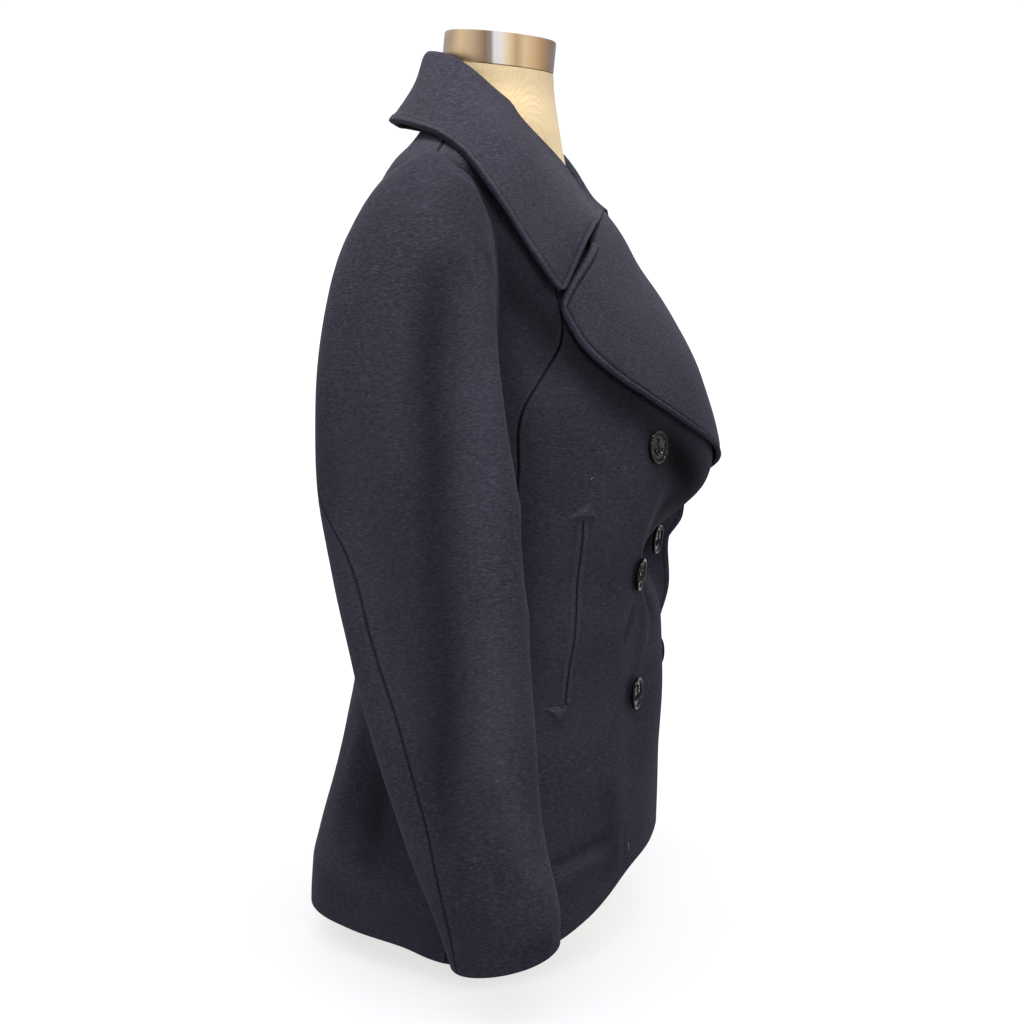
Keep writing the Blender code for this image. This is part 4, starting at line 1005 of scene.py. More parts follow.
def lapel_face(t, s, heights, shrink, wall_low, lift):
    """u, z and height of a face: columns round the roll, then the flap's, at shares s of the width.

    The face lies `shrink` under the outer one, and its roll ends at the height `wall_low`."""
    roll_u, roll_z, edge_u, edge_z, width = lapel_span(t)
    fade = smooth((1.02 - t) / LAPEL_FADE)
    tall, rim = (LAPEL_LOW + (height(t) - LAPEL_LOW) * fade for height in heights)
    turn = np.linspace(-QUARTER, QUARTER, ROLL_STEPS)[None, :]
    high = tall[:, :ROLL_STEPS] - shrink
    roll_d = -(ROLL_DEPTH - shrink) * np.cos(turn) - 2.0 * GAP + 0.0 * high
    roll_h = (high + wall_low) / 2.0 + (high - wall_low) / 2.0 * np.sin(turn)
    tall, rim = tall[:, ROLL_STEPS:], rim[:, ROLL_STEPS:]
    flap_h = (tall - shrink) + (rim - tall) * smooth(s * 1.1) + lift
    share = np.hstack([roll_d, s * width[:, ROLL_STEPS:]]) / width
    bend = GORGE.at(share, "rise") * np.clip(1.0 - t / GORGE_BEND, 0.0, None) ** 2
    bend = bend + GORGE_LIFT.at(share, "lift") * smooth((LIFT_FADE - t) / LIFT_FADE)
    u = roll_u + (edge_u - roll_u) * share
    return u, roll_z + (edge_z - roll_z) * share + bend, np.hstack([roll_h, flap_h])


def add_lapel(name, surface, side, heights, finish):
    """Side 1 is the right lapel, -1 the left one; heights are those of the roll and of the outer edge."""
    ends = np.array(STITCHED)
    inside = np.arange(1.5, LAPEL_LONG, EDGE_STEP)
    t_col = np.concatenate([ends / LAPEL_LONG, inside / LAPEL_LONG, [1.0]])[:, None]
    width = lapel_span(t_col)[-1]
    middle = int(round((float(width.max()) - ends[-1]) / EDGE_STEP))
    right = width - ends[::-1][None, :] * np.clip(width / (1.5 * ends[-1]), 0.0, 1.0)
    p = width - np.hstack([np.linspace(0.0, 1.0, middle + 1)[None, 1:-1] * right[:, :1], right])
    q = t_col * LAPEL_LONG + 0.0 * p
    p_new, q_new = rounded_corner(p, q, CORNER)
    t = np.hstack([np.repeat(t_col, ROLL_STEPS, axis=1), q_new / LAPEL_LONG])
    s = 1.0 - p_new / width
    sewn = 1.0 - smooth((1.0 - p / width - NOTCH_SHARE) / NOTCH_FADE)
    out, back_out, painted_shading = edged(np.zeros(p.shape), gorge_edges(p, q, sewn), COLLAR_WALL)
    painted_shading = np.hstack([np.zeros((len(painted_shading), ROLL_STEPS)), painted_shading])
    u_in, z_in, height = lapel_face(t, s, heights, COLLAR_WALL, GAP, back_out)
    inner = surface(side * u_in, z_in, height)
    u, z, height = lapel_face(t, s, heights, 0.0, -WALL, out)
    outer = surface(side * u, z, height)
    piece = add_shell(name + "_cloth", outer, inner, finish, cloth_uv(u, z), painted_shading)
    column = outer.shape[1] - 1 - STITCH_AT
    start = ROLL_STEPS + int(np.argmax(sewn[STITCH_AT] < 0.5))
    path = [(STITCH_AT, c) for c in range(start, column)]
    path += [(r, column) for r in range(STITCH_AT, outer.shape[0] - 3)]
    return stand_for(piece, name), face_path(outer, inner, path)


# ---------------------------------------------------------------- dress form
FORM = Table("z half front back", [
    (0.0, 13.0, 8.6, 9.4),
    (1.2, 14.4, 9.6, 10.3),
    (8.0, 16.6, 10.8, 10.6),
    (16.0, 16.2, 10.4, 10.0),
    (26.0, 13.4, 9.2, 8.4),
    (33.0, 12.4, 8.8, 8.0),
    (40.0, 13.4, 10.4, 8.8),
    (48.0, 15.0, 12.2, 9.8),
    (55.0, 16.2, 10.0, 10.0),
    (60.0, 17.2, 7.6, 9.2),
    (63.6, 17.4, 5.8, 7.8),
    (65.4, 17.4, 4.7, 6.4),
    (66.4, 16.3, 4.1, 5.8),
    (67.4, 13.9, 3.4, 5.2),
    (68.4, 11.0, 3.0, 4.7),
    (69.4, 8.6, 2.9, 4.4),
    (70.2, 6.6, 2.9, 4.1),
    (71.0, 4.8, 2.8, 3.6),
    (74.7, 4.0, 2.6, 3.2),
])
NECK = Table("z half front back tilt", [
    (58.0, 2.0, 6.0, 2.4, 0.0),
    (62.0, 3.6, 8.0, 3.0, 0.0),
    (64.0, 4.4, 7.3, 3.6, 0.0),
    (66.0, 5.0, 6.75, 4.0, 0.0),
    (68.0, 5.5, 6.4, 4.2, 0.1),
    (69.4, 5.7, 6.2, 4.25, 0.3),
    (71.0, 5.5, 5.95, 4.1, 0.55),
    (73.0, 5.0, 5.7, 4.0, 0.85),
    (74.7, 4.85, 5.6, 4.05, 1.0),
])
NECK_BLEND = 9.0      # how sharply the neck meets the torso
FORM_TOP = 74.7
CAP_TILT = math.radians(5.8)
CAP_RADIUS = 4.88
CAP_HEIGHT = 2.75
CAP_ROUND = 0.28
FOOT_ROUND = 0.10     # of the cap's and the buttons' lower edge
NECK_F = 0.75
FORM_SIDES = 192
FORM_END_RINGS = (0.985, 0.94, 0.5, 0.02)   # shares of the radius on the flat ends


def ray_to_ellipse(turns, start_f, half, front, back):
    """Distance from (0, start_f) to an ellipse, each way given by turns."""
    middle, deep = (front - back) / 2.0, (front + back) / 2.0
    a = (np.sin(turns) / half) ** 2 + (np.cos(turns) / deep) ** 2
    b = np.cos(turns) * (start_f - middle) / deep**2
    c = ((start_f - middle) / deep) ** 2 - 1.0
    return (-b + np.sqrt(b * b - a * c)) / a


def form_ring(z, turns):
    start_f = float(BODY.at(z, "side"))
    torso = ray_to_ellipse(turns, start_f, *(FORM.at(z, n) for n in ("half", "front", "back")))
    reach = torso
    if z > NECK.key[0]:
        neck = ray_to_ellipse(turns, start_f, *(NECK.at(z, n) for n in ("half", "front", "back")))
        reach = (torso**NECK_BLEND + neck**NECK_BLEND) ** (1.0 / NECK_BLEND)
    f = start_f + reach * np.cos(turns)
    lean = (NECK.at(z, "tilt") if z > NECK.key[0] else 0.0) * math.tan(CAP_TILT) * (f - NECK_F)
    return np.stack([reach * np.sin(turns), -f, z - lean], axis=-1)


def add_form(linen):
    turns = full_turn(FORM_SIDES)
    rows = list(np.arange(0.0, FORM_TOP, 0.5)) + [FORM_TOP]
    rings = np.array([form_ring(z, turns) for z in rows])
    points, faces = rings.reshape(-1, 3), [ring_quads(len(rows), FORM_SIDES)]
    for ring, order in ((0, -1), (len(rows) - 1, 1)):
        middle = rings[ring].mean(axis=0)[None]
        start = ring * FORM_SIDES + np.arange(FORM_SIDES)
        for share in FORM_END_RINGS:
            index = len(points) + np.arange(FORM_SIDES)
            points = np.concatenate([points, middle + (rings[ring] - middle) * share])
            quads = np.stack([start, np.roll(start, -1), np.roll(index, -1), index], axis=-1)
            faces.append(quads[:, ::order])
            start = index
        k = np.arange(FORM_SIDES // 2 - 1)
        fan = start[np.stack([k, k + 1, FORM_SIDES - 2 - k, FORM_SIDES - 1 - k], axis=-1)]
        faces.append(fan[:, ::order])
    mesh = place_mesh("dress_form_linen", points * CM, np.concatenate(faces))
    mesh.set_sharp_from_angle(angle=math.radians(50))
    return stand_for(put_in_scene("dress_form_linen", mesh, linen), "dress_form")


def lathe(profile, sides):
    """Points and quads of a body of revolution about Z from (radius, height) rows."""
    rings = [[(r * math.cos(a), r * math.sin(a), h) for a in full_turn(sides)] for r, h in profile]
    faces = np.roll(ring_quads(len(profile), sides)[:, ::-1], 1, axis=1)
    return np.array(rings).reshape(-1, 3), faces


def rounded(r, h, radius, start, end, count):
    """A round of a profile about (r, h), by angles from the way up towards the way out."""
    return [(r + radius * math.sin(a), h + radius * math.cos(a)) for a in np.linspace(start, end, count)]


def rounded_foot(r):
    return rounded(r - FOOT_ROUND, FOOT_ROUND, FOOT_ROUND, QUARTER, 2.0 * QUARTER, 5)


def add_cap(metal):
    r, h = CAP_RADIUS, CAP_HEIGHT
    profile = [(0.001, h), (r * 0.5, h), (r - 0.5, h)]
    profile += rounded(r - CAP_ROUND, h - CAP_ROUND, CAP_ROUND, 0.0, QUARTER, 7)
    profile += [(r, h * 0.5)] + rounded_foot(r) + [(r * 0.5, 0.0), (0.001, 0.0)]
    points, faces = lathe(profile, 128)
    mesh = place_mesh("neck_cap_metal", points * CM, faces[:, ::-1])
    place = Matrix.Translation(Vector((0.0, -NECK_F, FORM_TOP + GAP)) * CM)
    mesh.transform(place @ Matrix.Rotation(CAP_TILT, 4, "X"))
    mesh.set_sharp_from_angle(angle=math.radians(50))
    return stand_for(put_in_scene("neck_cap_metal", mesh, metal), "neck_cap")


# ---------------------------------------------------------------- buttons
BUTTON_RADIUS = 1.40
BUTTON_THICK = 0.32
BUTTON_LIFT = 0.16
FACE_IN = 0.13        # how deep the face lies in the rim
RELIEF = 0.05         # height of the anchor's bars over the face
BUTTONS = [
    # name,     x,    z,    turn,  up
    ("right_1", -8.3, 42.7, 27.0, 2.0),
    ("right_2", -8.4, 32.0, 7.0, -8.0),
    ("right_3", -8.6, 21.6, 11.0, -3.0),
    ("left_1", 10.1, 42.7, -28.0, 2.0),
    ("left_2", 8.0, 32.6, 12.0, -6.0),
    ("left_3", 9.4, 21.6, -24.0, -3.0),
]
COVERED_BUTTON = "left_1"
# The generic anchor: tubes through points of the face, with their radius.
ANCHOR_ARM = [(0.56 * math.cos(a), -0.08 + 0.56 * math.sin(a))
              for a in np.linspace(math.radians(198), math.radians(342), 13)]
ANCHOR_RING = [(0.13 * math.sin(a), 0.64 + 0.13 * math.cos(a)) for a in full_turn(12)]
ANCHOR_LINES = [
    # radius, closed, places
    (0.075, False, [(0.0, 0.50), (0.0, 0.10), (0.0, -0.30), (0.0, -0.66)]),
    (0.060, False, [(-0.34, 0.32), (0.0, 0.34), (0.34, 0.32)]),
    (0.080, False, ANCHOR_ARM),
    (0.050, False, [(-0.70, -0.10), (-0.50, -0.26), (-0.42, -0.06)]),
    (0.050, False, [(0.70, -0.10), (0.50, -0.26), (0.42, -0.06)]),
    (0.050, True, ANCHOR_RING),
]
ROPE_BUMPS = 44       # strands of the rope round the rim
ROPE_IN = 0.33        # from the rim
ROPE_RADIUS = 0.045
ROPE_SLANT = 0.05     # half of a strand's turn, and of its way outwards
ROPE_WAY = 0.045
RIM_ROUND = 0.11


def clear_of_cloth(surface, x, z, facing):
    """How far along `facing` a button must stand off to clear the cloth."""
    rim = full_turn(16)[None, :]
    reach = np.linspace(0.0, BUTTON_RADIUS * 1.1, 5)[:, None]
    z_near = z + reach * np.sin(rim)
    cloth = surface(u_at(x + reach * np.cos(rim), z_near), z_near, 0.0, 0.0)
    seat = surface(u_at(x, z), z, 0.0, 0.0)
    return seat, float(((cloth - seat) @ np.array(facing)).max())


def tube_along(places, radius, closed, height, sides=8):
    """A round bar through flat places at this height; points and quads."""
    line = np.array([(x, y, height) for x, y in places])
    ahead = np.roll(line, -1, axis=0) - np.roll(line, 1, axis=0) if closed else np.gradient(line, axis=0)
    ahead = unit(ahead)
    side = np.cross(ahead, [0.0, 0.0, 1.0])
    turn = full_turn(sides)
    size = np.full(len(line), radius)
    if not closed:
        first, last = line[:1] - ahead[:1] * radius * 0.5, line[-1:] + ahead[-1:] * radius * 0.5
        line = np.concatenate([first, line, last])
        side = np.concatenate([side[:1], side, side[-1:]])
        size = np.concatenate([[radius * 0.15], size, [radius * 0.15]])
    points = line[:, None, :] + size[:, None, None] * (
        side[:, None, :] * np.cos(turn)[:, None] + np.array([0.0, 0.0, 1.0]) * np.sin(turn)[:, None])
    faces = ring_quads(len(line), sides)
    if closed:
        i = np.arange(sides)
        n, last = np.roll(i, -1), (len(line) - 1) * sides
        faces = np.concatenate([faces, np.stack([last + i, last + n, n, i], axis=-1)])
    return points.reshape(-1, 3), faces


def button_parts():
    r, h = BUTTON_RADIUS, BUTTON_THICK
    face = h - FACE_IN
    profile = [(0.001, face + 0.035), (0.5, face + 0.03), (0.9, face), (r - 0.26, face - 0.01)]
    profile += rounded(r - RIM_ROUND, h - RIM_ROUND, RIM_ROUND, -QUARTER, QUARTER, 11) + rounded_foot(r)
    profile += [(0.55, 0.0), (0.42, -0.05), (0.001, -0.05)]
    parts = [lathe(profile, 72)]
    parts += [tube_along(places, radius, closed, face + RELIEF) for radius, closed, places in ANCHOR_LINES]
    for k in range(ROPE_BUMPS):
        strand = []
        for s in (-1.0, 0.0, 1.0):
            a, out = 2.0 * math.pi * k / ROPE_BUMPS + ROPE_SLANT * s, 1.0 + ROPE_WAY * s
            strand.append(((r - ROPE_IN) * math.cos(a) * out, (r - ROPE_IN) * math.sin(a) * out))
        parts.append(tube_along(strand, ROPE_RADIUS, False, face + 0.01, 6))
    return joined(parts)


def add_buttons(horn):
    points, faces = button_parts()
    for name, x, z, turn, up in BUTTONS:
        surface = front_under if name == COVERED_BUTTON else front_over
        turn, up = math.radians(turn), math.radians(up)
        facing = Vector((-math.sin(turn) * math.cos(up), -math.cos(turn) * math.cos(up), math.sin(up)))
        seat, lift = clear_of_cloth(surface, x, z, facing)
        spin = facing.to_track_quat("Z", "Y").to_matrix().to_4x4()
        centre = (Vector(seat) + facing * (lift + BUTTON_LIFT)) * CM
        mesh = place_mesh("button_%s_horn" % name, points * CM, faces[:, ::-1])
        mesh.transform(Matrix.Translation(centre) @ spin)
        mesh.set_sharp_from_angle(angle=math.radians(40))
        stand_for(put_in_scene("button_%s_horn" % name, mesh, horn), "button_" + name)


# ---------------------------------------------------------------- pockets
POCKET_TOP = (0.590, 37.3)     # u and z of the slit's upper end
POCKET_LOW = (0.622, 22.3)
POCKET_BOW = 0.020             # how far the slit bows to the front above its middle
PATCH_LOW = -0.12     # height of the lips' and tabs' lower face
FINE = np.array([0.0, 0.01, 0.03, 0.06, 0.10, 0.16, 0.22, 0.28])   # the grid's lines near an edge
LIP_WIDTH = 0.95
LIP_LIFT = 0.13       # height of the lips at the slit
LIP_STITCH = 0.60     # row of stitches along each lip, from the slit
LIP_GROOVE = 0.06
LIP_SUNK = 0.03       # how deep a lip ends in the front
LIP_SINKS_FROM = 0.30
LIP_SINKS_OVER = 0.45
LIP_EDGE = (0.13, 0.15)        # reach and depth of the rounded edge at the slit
LIP_END = (0.12, 0.08)
# Painted shade darkens the slit and each lip's stitch groove; the rest of each lip is 16% paler.
LIP_PAINTED_SHADING = [(-0.75, 0.0, 0.09), (-0.40, LIP_STITCH, 0.08)]
TAB_PUFF = 0.20       # height of a tab's middle
TAB_STITCH = 0.26     # row of stitches round a tab, from its edge
TAB_GROOVE = 0.05
TAB_ROUND = 0.42      # from the edge to the middle's full height
TAB_SUNK = 0.02       # how deep the edge lies in the front
TAB_EDGE = (0.05, 0.03)        # reach and depth of the rounded edge
# Painted shade darkens each tab's edge and its stitch groove; the rest of the tab is 20% paler.
TAB_PAINTED_SHADING = [(-0.65, 0.0, 0.07), (-0.35, TAB_STITCH, 0.06)]
TAB_HALF_WIDTH = 1.60
TAB_HEIGHT = 1.55
TAB_TAPER = 0.93
# Arrow-head tabs: u and z of the base's middle, the way the point looks, and
# how far the point leans to the front.
TABS = [
    # name,            u,     z,    way,  lean
    ("pocket_tab_top", 0.589, 37.3, 1.0, 0.55),
    ("pocket_tab_low", 0.648, 22.3, -1.0, 0.25),
]


def add_patch(name, side, surface, u, z, height, painted_shading, finish):
    """A small piece on the front of this side; gives it and its two faces."""
    u_side = u if side == "right" else -u
    outer, inner = surface(u_side, z, height), surface(u_side, z, PATCH_LOW + 0.0 * height)
    node = "%s_%s" % (name, side)
    piece = add_shell(node + "_cloth", outer, inner, finish, cloth_uv(u, z), painted_shading)
    return stand_for(piece, node), outer, inner


def add_lips(side, surface, finish):
    """Lips on either side of the slit, which sink into the front away from it; and their stitch rows."""
    long = POCKET_TOP[1] - POCKET_LOW[1]
    share = [FINE / long, np.linspace(0.5, long - 0.5, 60) / long, 1.0 - FINE[::-1] / long]
    share = np.concatenate(share)[:, None]
    slit_u = POCKET_TOP[0] + (POCKET_LOW[0] - POCKET_TOP[0]) * share
    slit_u = slit_u - POCKET_BOW * np.sin(np.pi * np.clip(share / 0.8, 0.0, 1.0))
    slit_z = POCKET_TOP[1] + (POCKET_LOW[1] - POCKET_TOP[1]) * share
    along = np.minimum(share, 1.0 - share) * long
    spread = np.concatenate([FINE, np.arange(0.34, LIP_WIDTH - GAP, 0.05), [LIP_WIDTH - GAP]])
    pieces, rows = [], []
    for name, sign in (("pocket_lip_front", -1.0), ("pocket_lip_back", 1.0)):
        off = (spread if sign > 0.0 else spread[::-1])[None, :]
        across = sign * (GAP + off)
        sunk = smooth((off - LIP_SINKS_FROM) / LIP_SINKS_OVER)
        height = LIP_LIFT * (1.0 - sunk) - LIP_SUNK * sunk - turned_in(off, *LIP_EDGE)
        height = height - LIP_GROOVE * bump(off, LIP_STITCH, 0.07) - turned_in(along, *LIP_END)
        u, z = slit_u + across / QUARTER_LENGTH, slit_z + 0.0 * across
        # Painted shade in the slit and the stitch groove; the rest of the lip is 16% paler.
        painted_shading = bumps(off, LIP_PAINTED_SHADING, 0.16) + 0.0 * height
        piece, outer, inner = add_patch(name, side, surface, u, z, height, painted_shading, finish)
        seam = int(np.argmin(np.abs(off - LIP_STITCH)))
        ends = len(FINE)
        rows.append((outer[ends:-ends, seam], (outer[:, seam] - inner[:, seam])[ends:-ends]))
        pieces.append(piece)
    return pieces, rows


def add_tabs(side, surface, finish):
    """The tabs lie on the front like arrow heads."""
    long, wide = TAB_HEIGHT, 2.0 * TAB_HALF_WIDTH
    rise = np.concatenate([FINE, np.linspace(0.36, long - 0.36, 9), long - FINE[::-1]])[:, None]
    parts = np.concatenate([FINE, np.linspace(0.36, wide - 0.36, 25), wide - FINE[::-1]])[None, :]
    narrow = TAB_HALF_WIDTH * (1.0 - TAB_TAPER * rise / TAB_HEIGHT)
    across = (parts / TAB_HALF_WIDTH - 1.0) * narrow
    slope = math.cos(math.atan2(TAB_HALF_WIDTH * TAB_TAPER, TAB_HEIGHT))
    edge = np.minimum(np.minimum(rise, TAB_HEIGHT - rise), (narrow - np.abs(across)) * slope)
    height = TAB_PUFF * smooth(edge / TAB_ROUND) - TAB_SUNK - turned_in(edge, *TAB_EDGE)
    height = height - TAB_GROOVE * bump(edge, TAB_STITCH, 0.05)
    # Painted shade along the tab's edge and stitch groove; the rest of the tab is 20% paler.
    painted_shading = bumps(edge, TAB_PAINTED_SHADING, 0.20)
    pieces = []
    for name, u0, z0, point, lean in TABS:
        u = u0 + (across - lean * rise / TAB_HEIGHT) / QUARTER_LENGTH
        z = z0 + point * (GAP + rise) + 0.0 * across
        pieces.append(add_patch(name, side, surface, u, z, height, painted_shading, finish)[0])
    return pieces


def add_pockets(finish, surfaces):
    """For each side, its pieces and the stitch rows on them."""
    pieces, rows = {}, {}
    for side, surface in surfaces.items():
        lips, rows[side] = add_lips(side, surface, finish)
        pieces[side] = lips + add_tabs(side, surface, finish)
    return pieces, rows


# ---------------------------------------------------------------- lint
# Pale hairs caught in the nap of each sheet: a and b on its surface, length,
# way and curl in degrees.
LINT = {
    "sleeve_top_right": [
        (0.005, 0.321, 0.75, 80.0, 210.0), (0.309, 0.185, 0.4, 20.0, 30.0),
        (0.144, 0.327, 0.3, 70.0, 20.0), (-0.058, 0.264, 0.3, 140.0, 60.0),
        (-0.042, 0.477, 0.35, 30.0, 40.0), (0.186, 0.368, 0.3, 100.0, 30.0),
        (-0.22, 0.167, 0.3, 10.0, 30.0), (-0.082, 0.393, 0.3, 60.0, 50.0),
        (-0.02, 0.335, 0.25, 120.0, 20.0), (-0.088, 0.196, 0.25, 45.0, 60.0),
        (-0.049, 0.5, 0.25, 15.0, 20.0), (0.008, 0.98, 0.35, 5.0, 20.0),
        (0.206, 0.792, 0.3, 80.0, 30.0), (0.12, 0.968, 0.25, 35.0, 30.0),
        (0.042, 0.563, 0.3, 130.0, 60.0), (0.23, 0.933, 0.3, 160.0, 20.0)],
    "collar": [
        (4.25, 0.803, 0.55, 65.0, 90.0), (4.2, 0.956, 0.35, 20.0, 30.0),
        (3.75, 0.709, 0.3, 110.0, 30.0), (4.7, 0.674, 0.3, 40.0, 20.0), (4.2, 0.756, 0.6, 150.0, 60.0),
        (4.8, 0.779, 0.25, 75.0, 30.0), (3.95, 0.982, 0.25, 25.0, 30.0), (4.4, 0.5, 0.25, 100.0, 40.0),
        (4.1, -0.5, 0.3, 60.0, 40.0)],
    "front_right": [
        (0.302, 8.2, 0.7, 95.0, 70.0), (0.48, 30.0, 0.25, 30.0, 20.0),
        (0.571, 40.6, 0.25, 120.0, 20.0)],
    "back_right": [
        (1.4, 52.0, 0.35, 40.0, 60.0)],
    "back_left": [
        (-1.55, 30.0, 0.4, 110.0, 40.0)],
    "sleeve_top_left": [
        (0.1, 0.44, 0.35, 50.0, 60.0)],
    "front_left": [
        (-0.45, 20.0, 0.35, 70.0, 60.0)],
}
LINT_RADIUS = 0.019
LINT_RINGS = 9
LINT_SIDES = 5
LINT_LIFT = 0.03      # above the nap
# Steps of a and b for one centimetre along each surface.
LINT_STEPS = {"sleeve": (1.0 / SLEEVE_ROUND, 1.0 / SLEEVE_LONG), "collar": (0.14, 1.0 / COLLAR_END),
              "front": (1.0 / QUARTER_LENGTH, 1.0), "back": (1.0 / QUARTER_LENGTH, 1.0)}
LINT_SURFACES = {"sleeve": sleeve, "collar": collar, "front": front_over, "back": body}


def lint_hair(surface, steps, mirror, a, b, length, way, curl):
    """A curled hair that lies on surface(a, b); points and quads."""
    shares = np.linspace(0.0, 1.0, LINT_RINGS)
    heading = np.radians(way + curl * (shares - 0.5))
    run_a = a + np.cumsum(np.cos(heading)) * length / LINT_RINGS * steps[0]
    run_b = b + np.cumsum(np.sin(heading)) * length / LINT_RINGS * steps[1]
    line = surface(run_a, run_b, LINT_LIFT)
    up = unit((line - surface(run_a, run_b, 0.0)) * mirror)
    line = line * mirror
    side = np.cross(unit(np.gradient(line, axis=0)), up)
    around = full_turn(LINT_SIDES)
    ring = up[:, None, :] * np.cos(around)[:, None] + side[:, None, :] * np.sin(around)[:, None]
    size = LINT_RADIUS * np.sin(np.pi * np.linspace(0.08, 0.92, LINT_RINGS)) ** 0.4
    points = line[:, None, :] + ring * size[:, None, None]
    return points.reshape(-1, 3), ring_quads(LINT_RINGS, LINT_SIDES)


def add_lint(finish):
    """One piece of hairs for each sheet that has any."""
    pieces = {}
    for sheet, hairs in LINT.items():
        kind = sheet.split("_")[0]
        surface = front_under if sheet == "front_left" else LINT_SURFACES[kind]
        mirror = (-1.0 if sheet == "sleeve_top_left" else 1.0, 1.0, 1.0)
        points, faces = joined([lint_hair(surface, LINT_STEPS[kind], mirror, *hair) for hair in hairs])
        mesh = place_mesh("lint_" + sheet, points * CM, faces)
        pieces[sheet] = belong(put_in_scene("lint_" + sheet, mesh, finish))
    return pieces


# ---------------------------------------------------------------- materials


class Nodes:
    """The shader nodes of a new material; each method adds some and links them."""

    def __init__(self, name):
        self.material = bpy.data.materials.new(name)
        self.material.use_nodes = True
        self.tree = self.material.node_tree
        self.tree.nodes.clear()

    def fill(self, socket, value):
        if isinstance(value, bpy.types.NodeSocket):
            self.tree.links.new(value, socket)
        else:
            socket.default_value = value

    def add(self, kind, inputs, **settings):
        node = self.tree.nodes.new(kind)
        for key, value in settings.items():
            setattr(node, key, value)
        for key, value in inputs.items():
            self.fill(node.inputs[key], value)
        return node

    def place(self, *stretch):
        """Object coordinates, stretched along X, Y and Z."""
        place = self.add("ShaderNodeTexCoord", {}).outputs["Object"]
        scale = stretch or (1.0, 1.0, 1.0)
        return self.add("ShaderNodeMapping", {"Vector": place, "Scale": scale}).outputs["Vector"]

    def noise(self, place, scale, detail, roughness, distortion=0.0):
        return self.add("ShaderNodeTexNoise", {
            "Vector": place, "Scale": scale, "Detail": detail, "Roughness": roughness,
            "Distortion": distortion}).outputs["Fac"]

    def weave(self, place, direction, distortion, detail_scale):
        return self.add("ShaderNodeTexWave", {
            "Vector": place, "Scale": WEAVE_SCALE, "Distortion": distortion, "Detail": 2.0,
            "Detail Scale": detail_scale}, wave_type="BANDS", bands_direction=direction).outputs["Fac"]

    def ramp(self, value, *stops, interpolation="EASE"):
        """Colours (r, g, b), or greys (v,), at places of the value."""
        node = self.add("ShaderNodeValToRGB", {"Fac": value})
        node.color_ramp.interpolation = interpolation
        while len(node.color_ramp.elements) < len(stops):
            node.color_ramp.elements.new(0.5)
        for element, (at, *colour) in zip(node.color_ramp.elements, stops):
            element.position = at
            element.color = (*(colour * 3)[:3], 1.0)
        return node.outputs["Color"]

    def mix(self, factor, a, b, blend="MIX"):
        node = self.add("ShaderNodeMix", {0: factor}, data_type="RGBA", blend_type=blend)
        for key, colour in ((6, a), (7, b)):
            self.fill(node.inputs[key], (*colour, 1.0) if isinstance(colour, tuple) else colour)
        return node.outputs[2]

    def math(self, operation, a, b):
        return self.add("ShaderNodeMath", {0: a, 1: b}, operation=operation).outputs[0]

    def weighted(self, *terms):
        """Sum of (value, weight) terms."""
        total = self.math("MULTIPLY", *terms[0])
        for value, weight in terms[1:]:
            total = self.math("ADD", total, self.math("MULTIPLY", value, weight))
        return total

    def bump(self, height, strength, distance):
        inputs = {"Height": height, "Strength": strength, "Distance": distance}
        return self.add("ShaderNodeBump", inputs).outputs["Normal"]

    def surface(self, colour, **others):
        """A Principled surface on the material's output; "_" stands for a space in an input's name."""
        inputs = {"Base Color": colour}
        inputs.update({name.replace("_", " "): value for name, value in others.items()})
        shader = self.add("ShaderNodeBsdfPrincipled", inputs)
        self.add("ShaderNodeOutputMaterial", {"Surface": shader.outputs[0]})
        return self.material


WEAVE_SCALE = 330.0


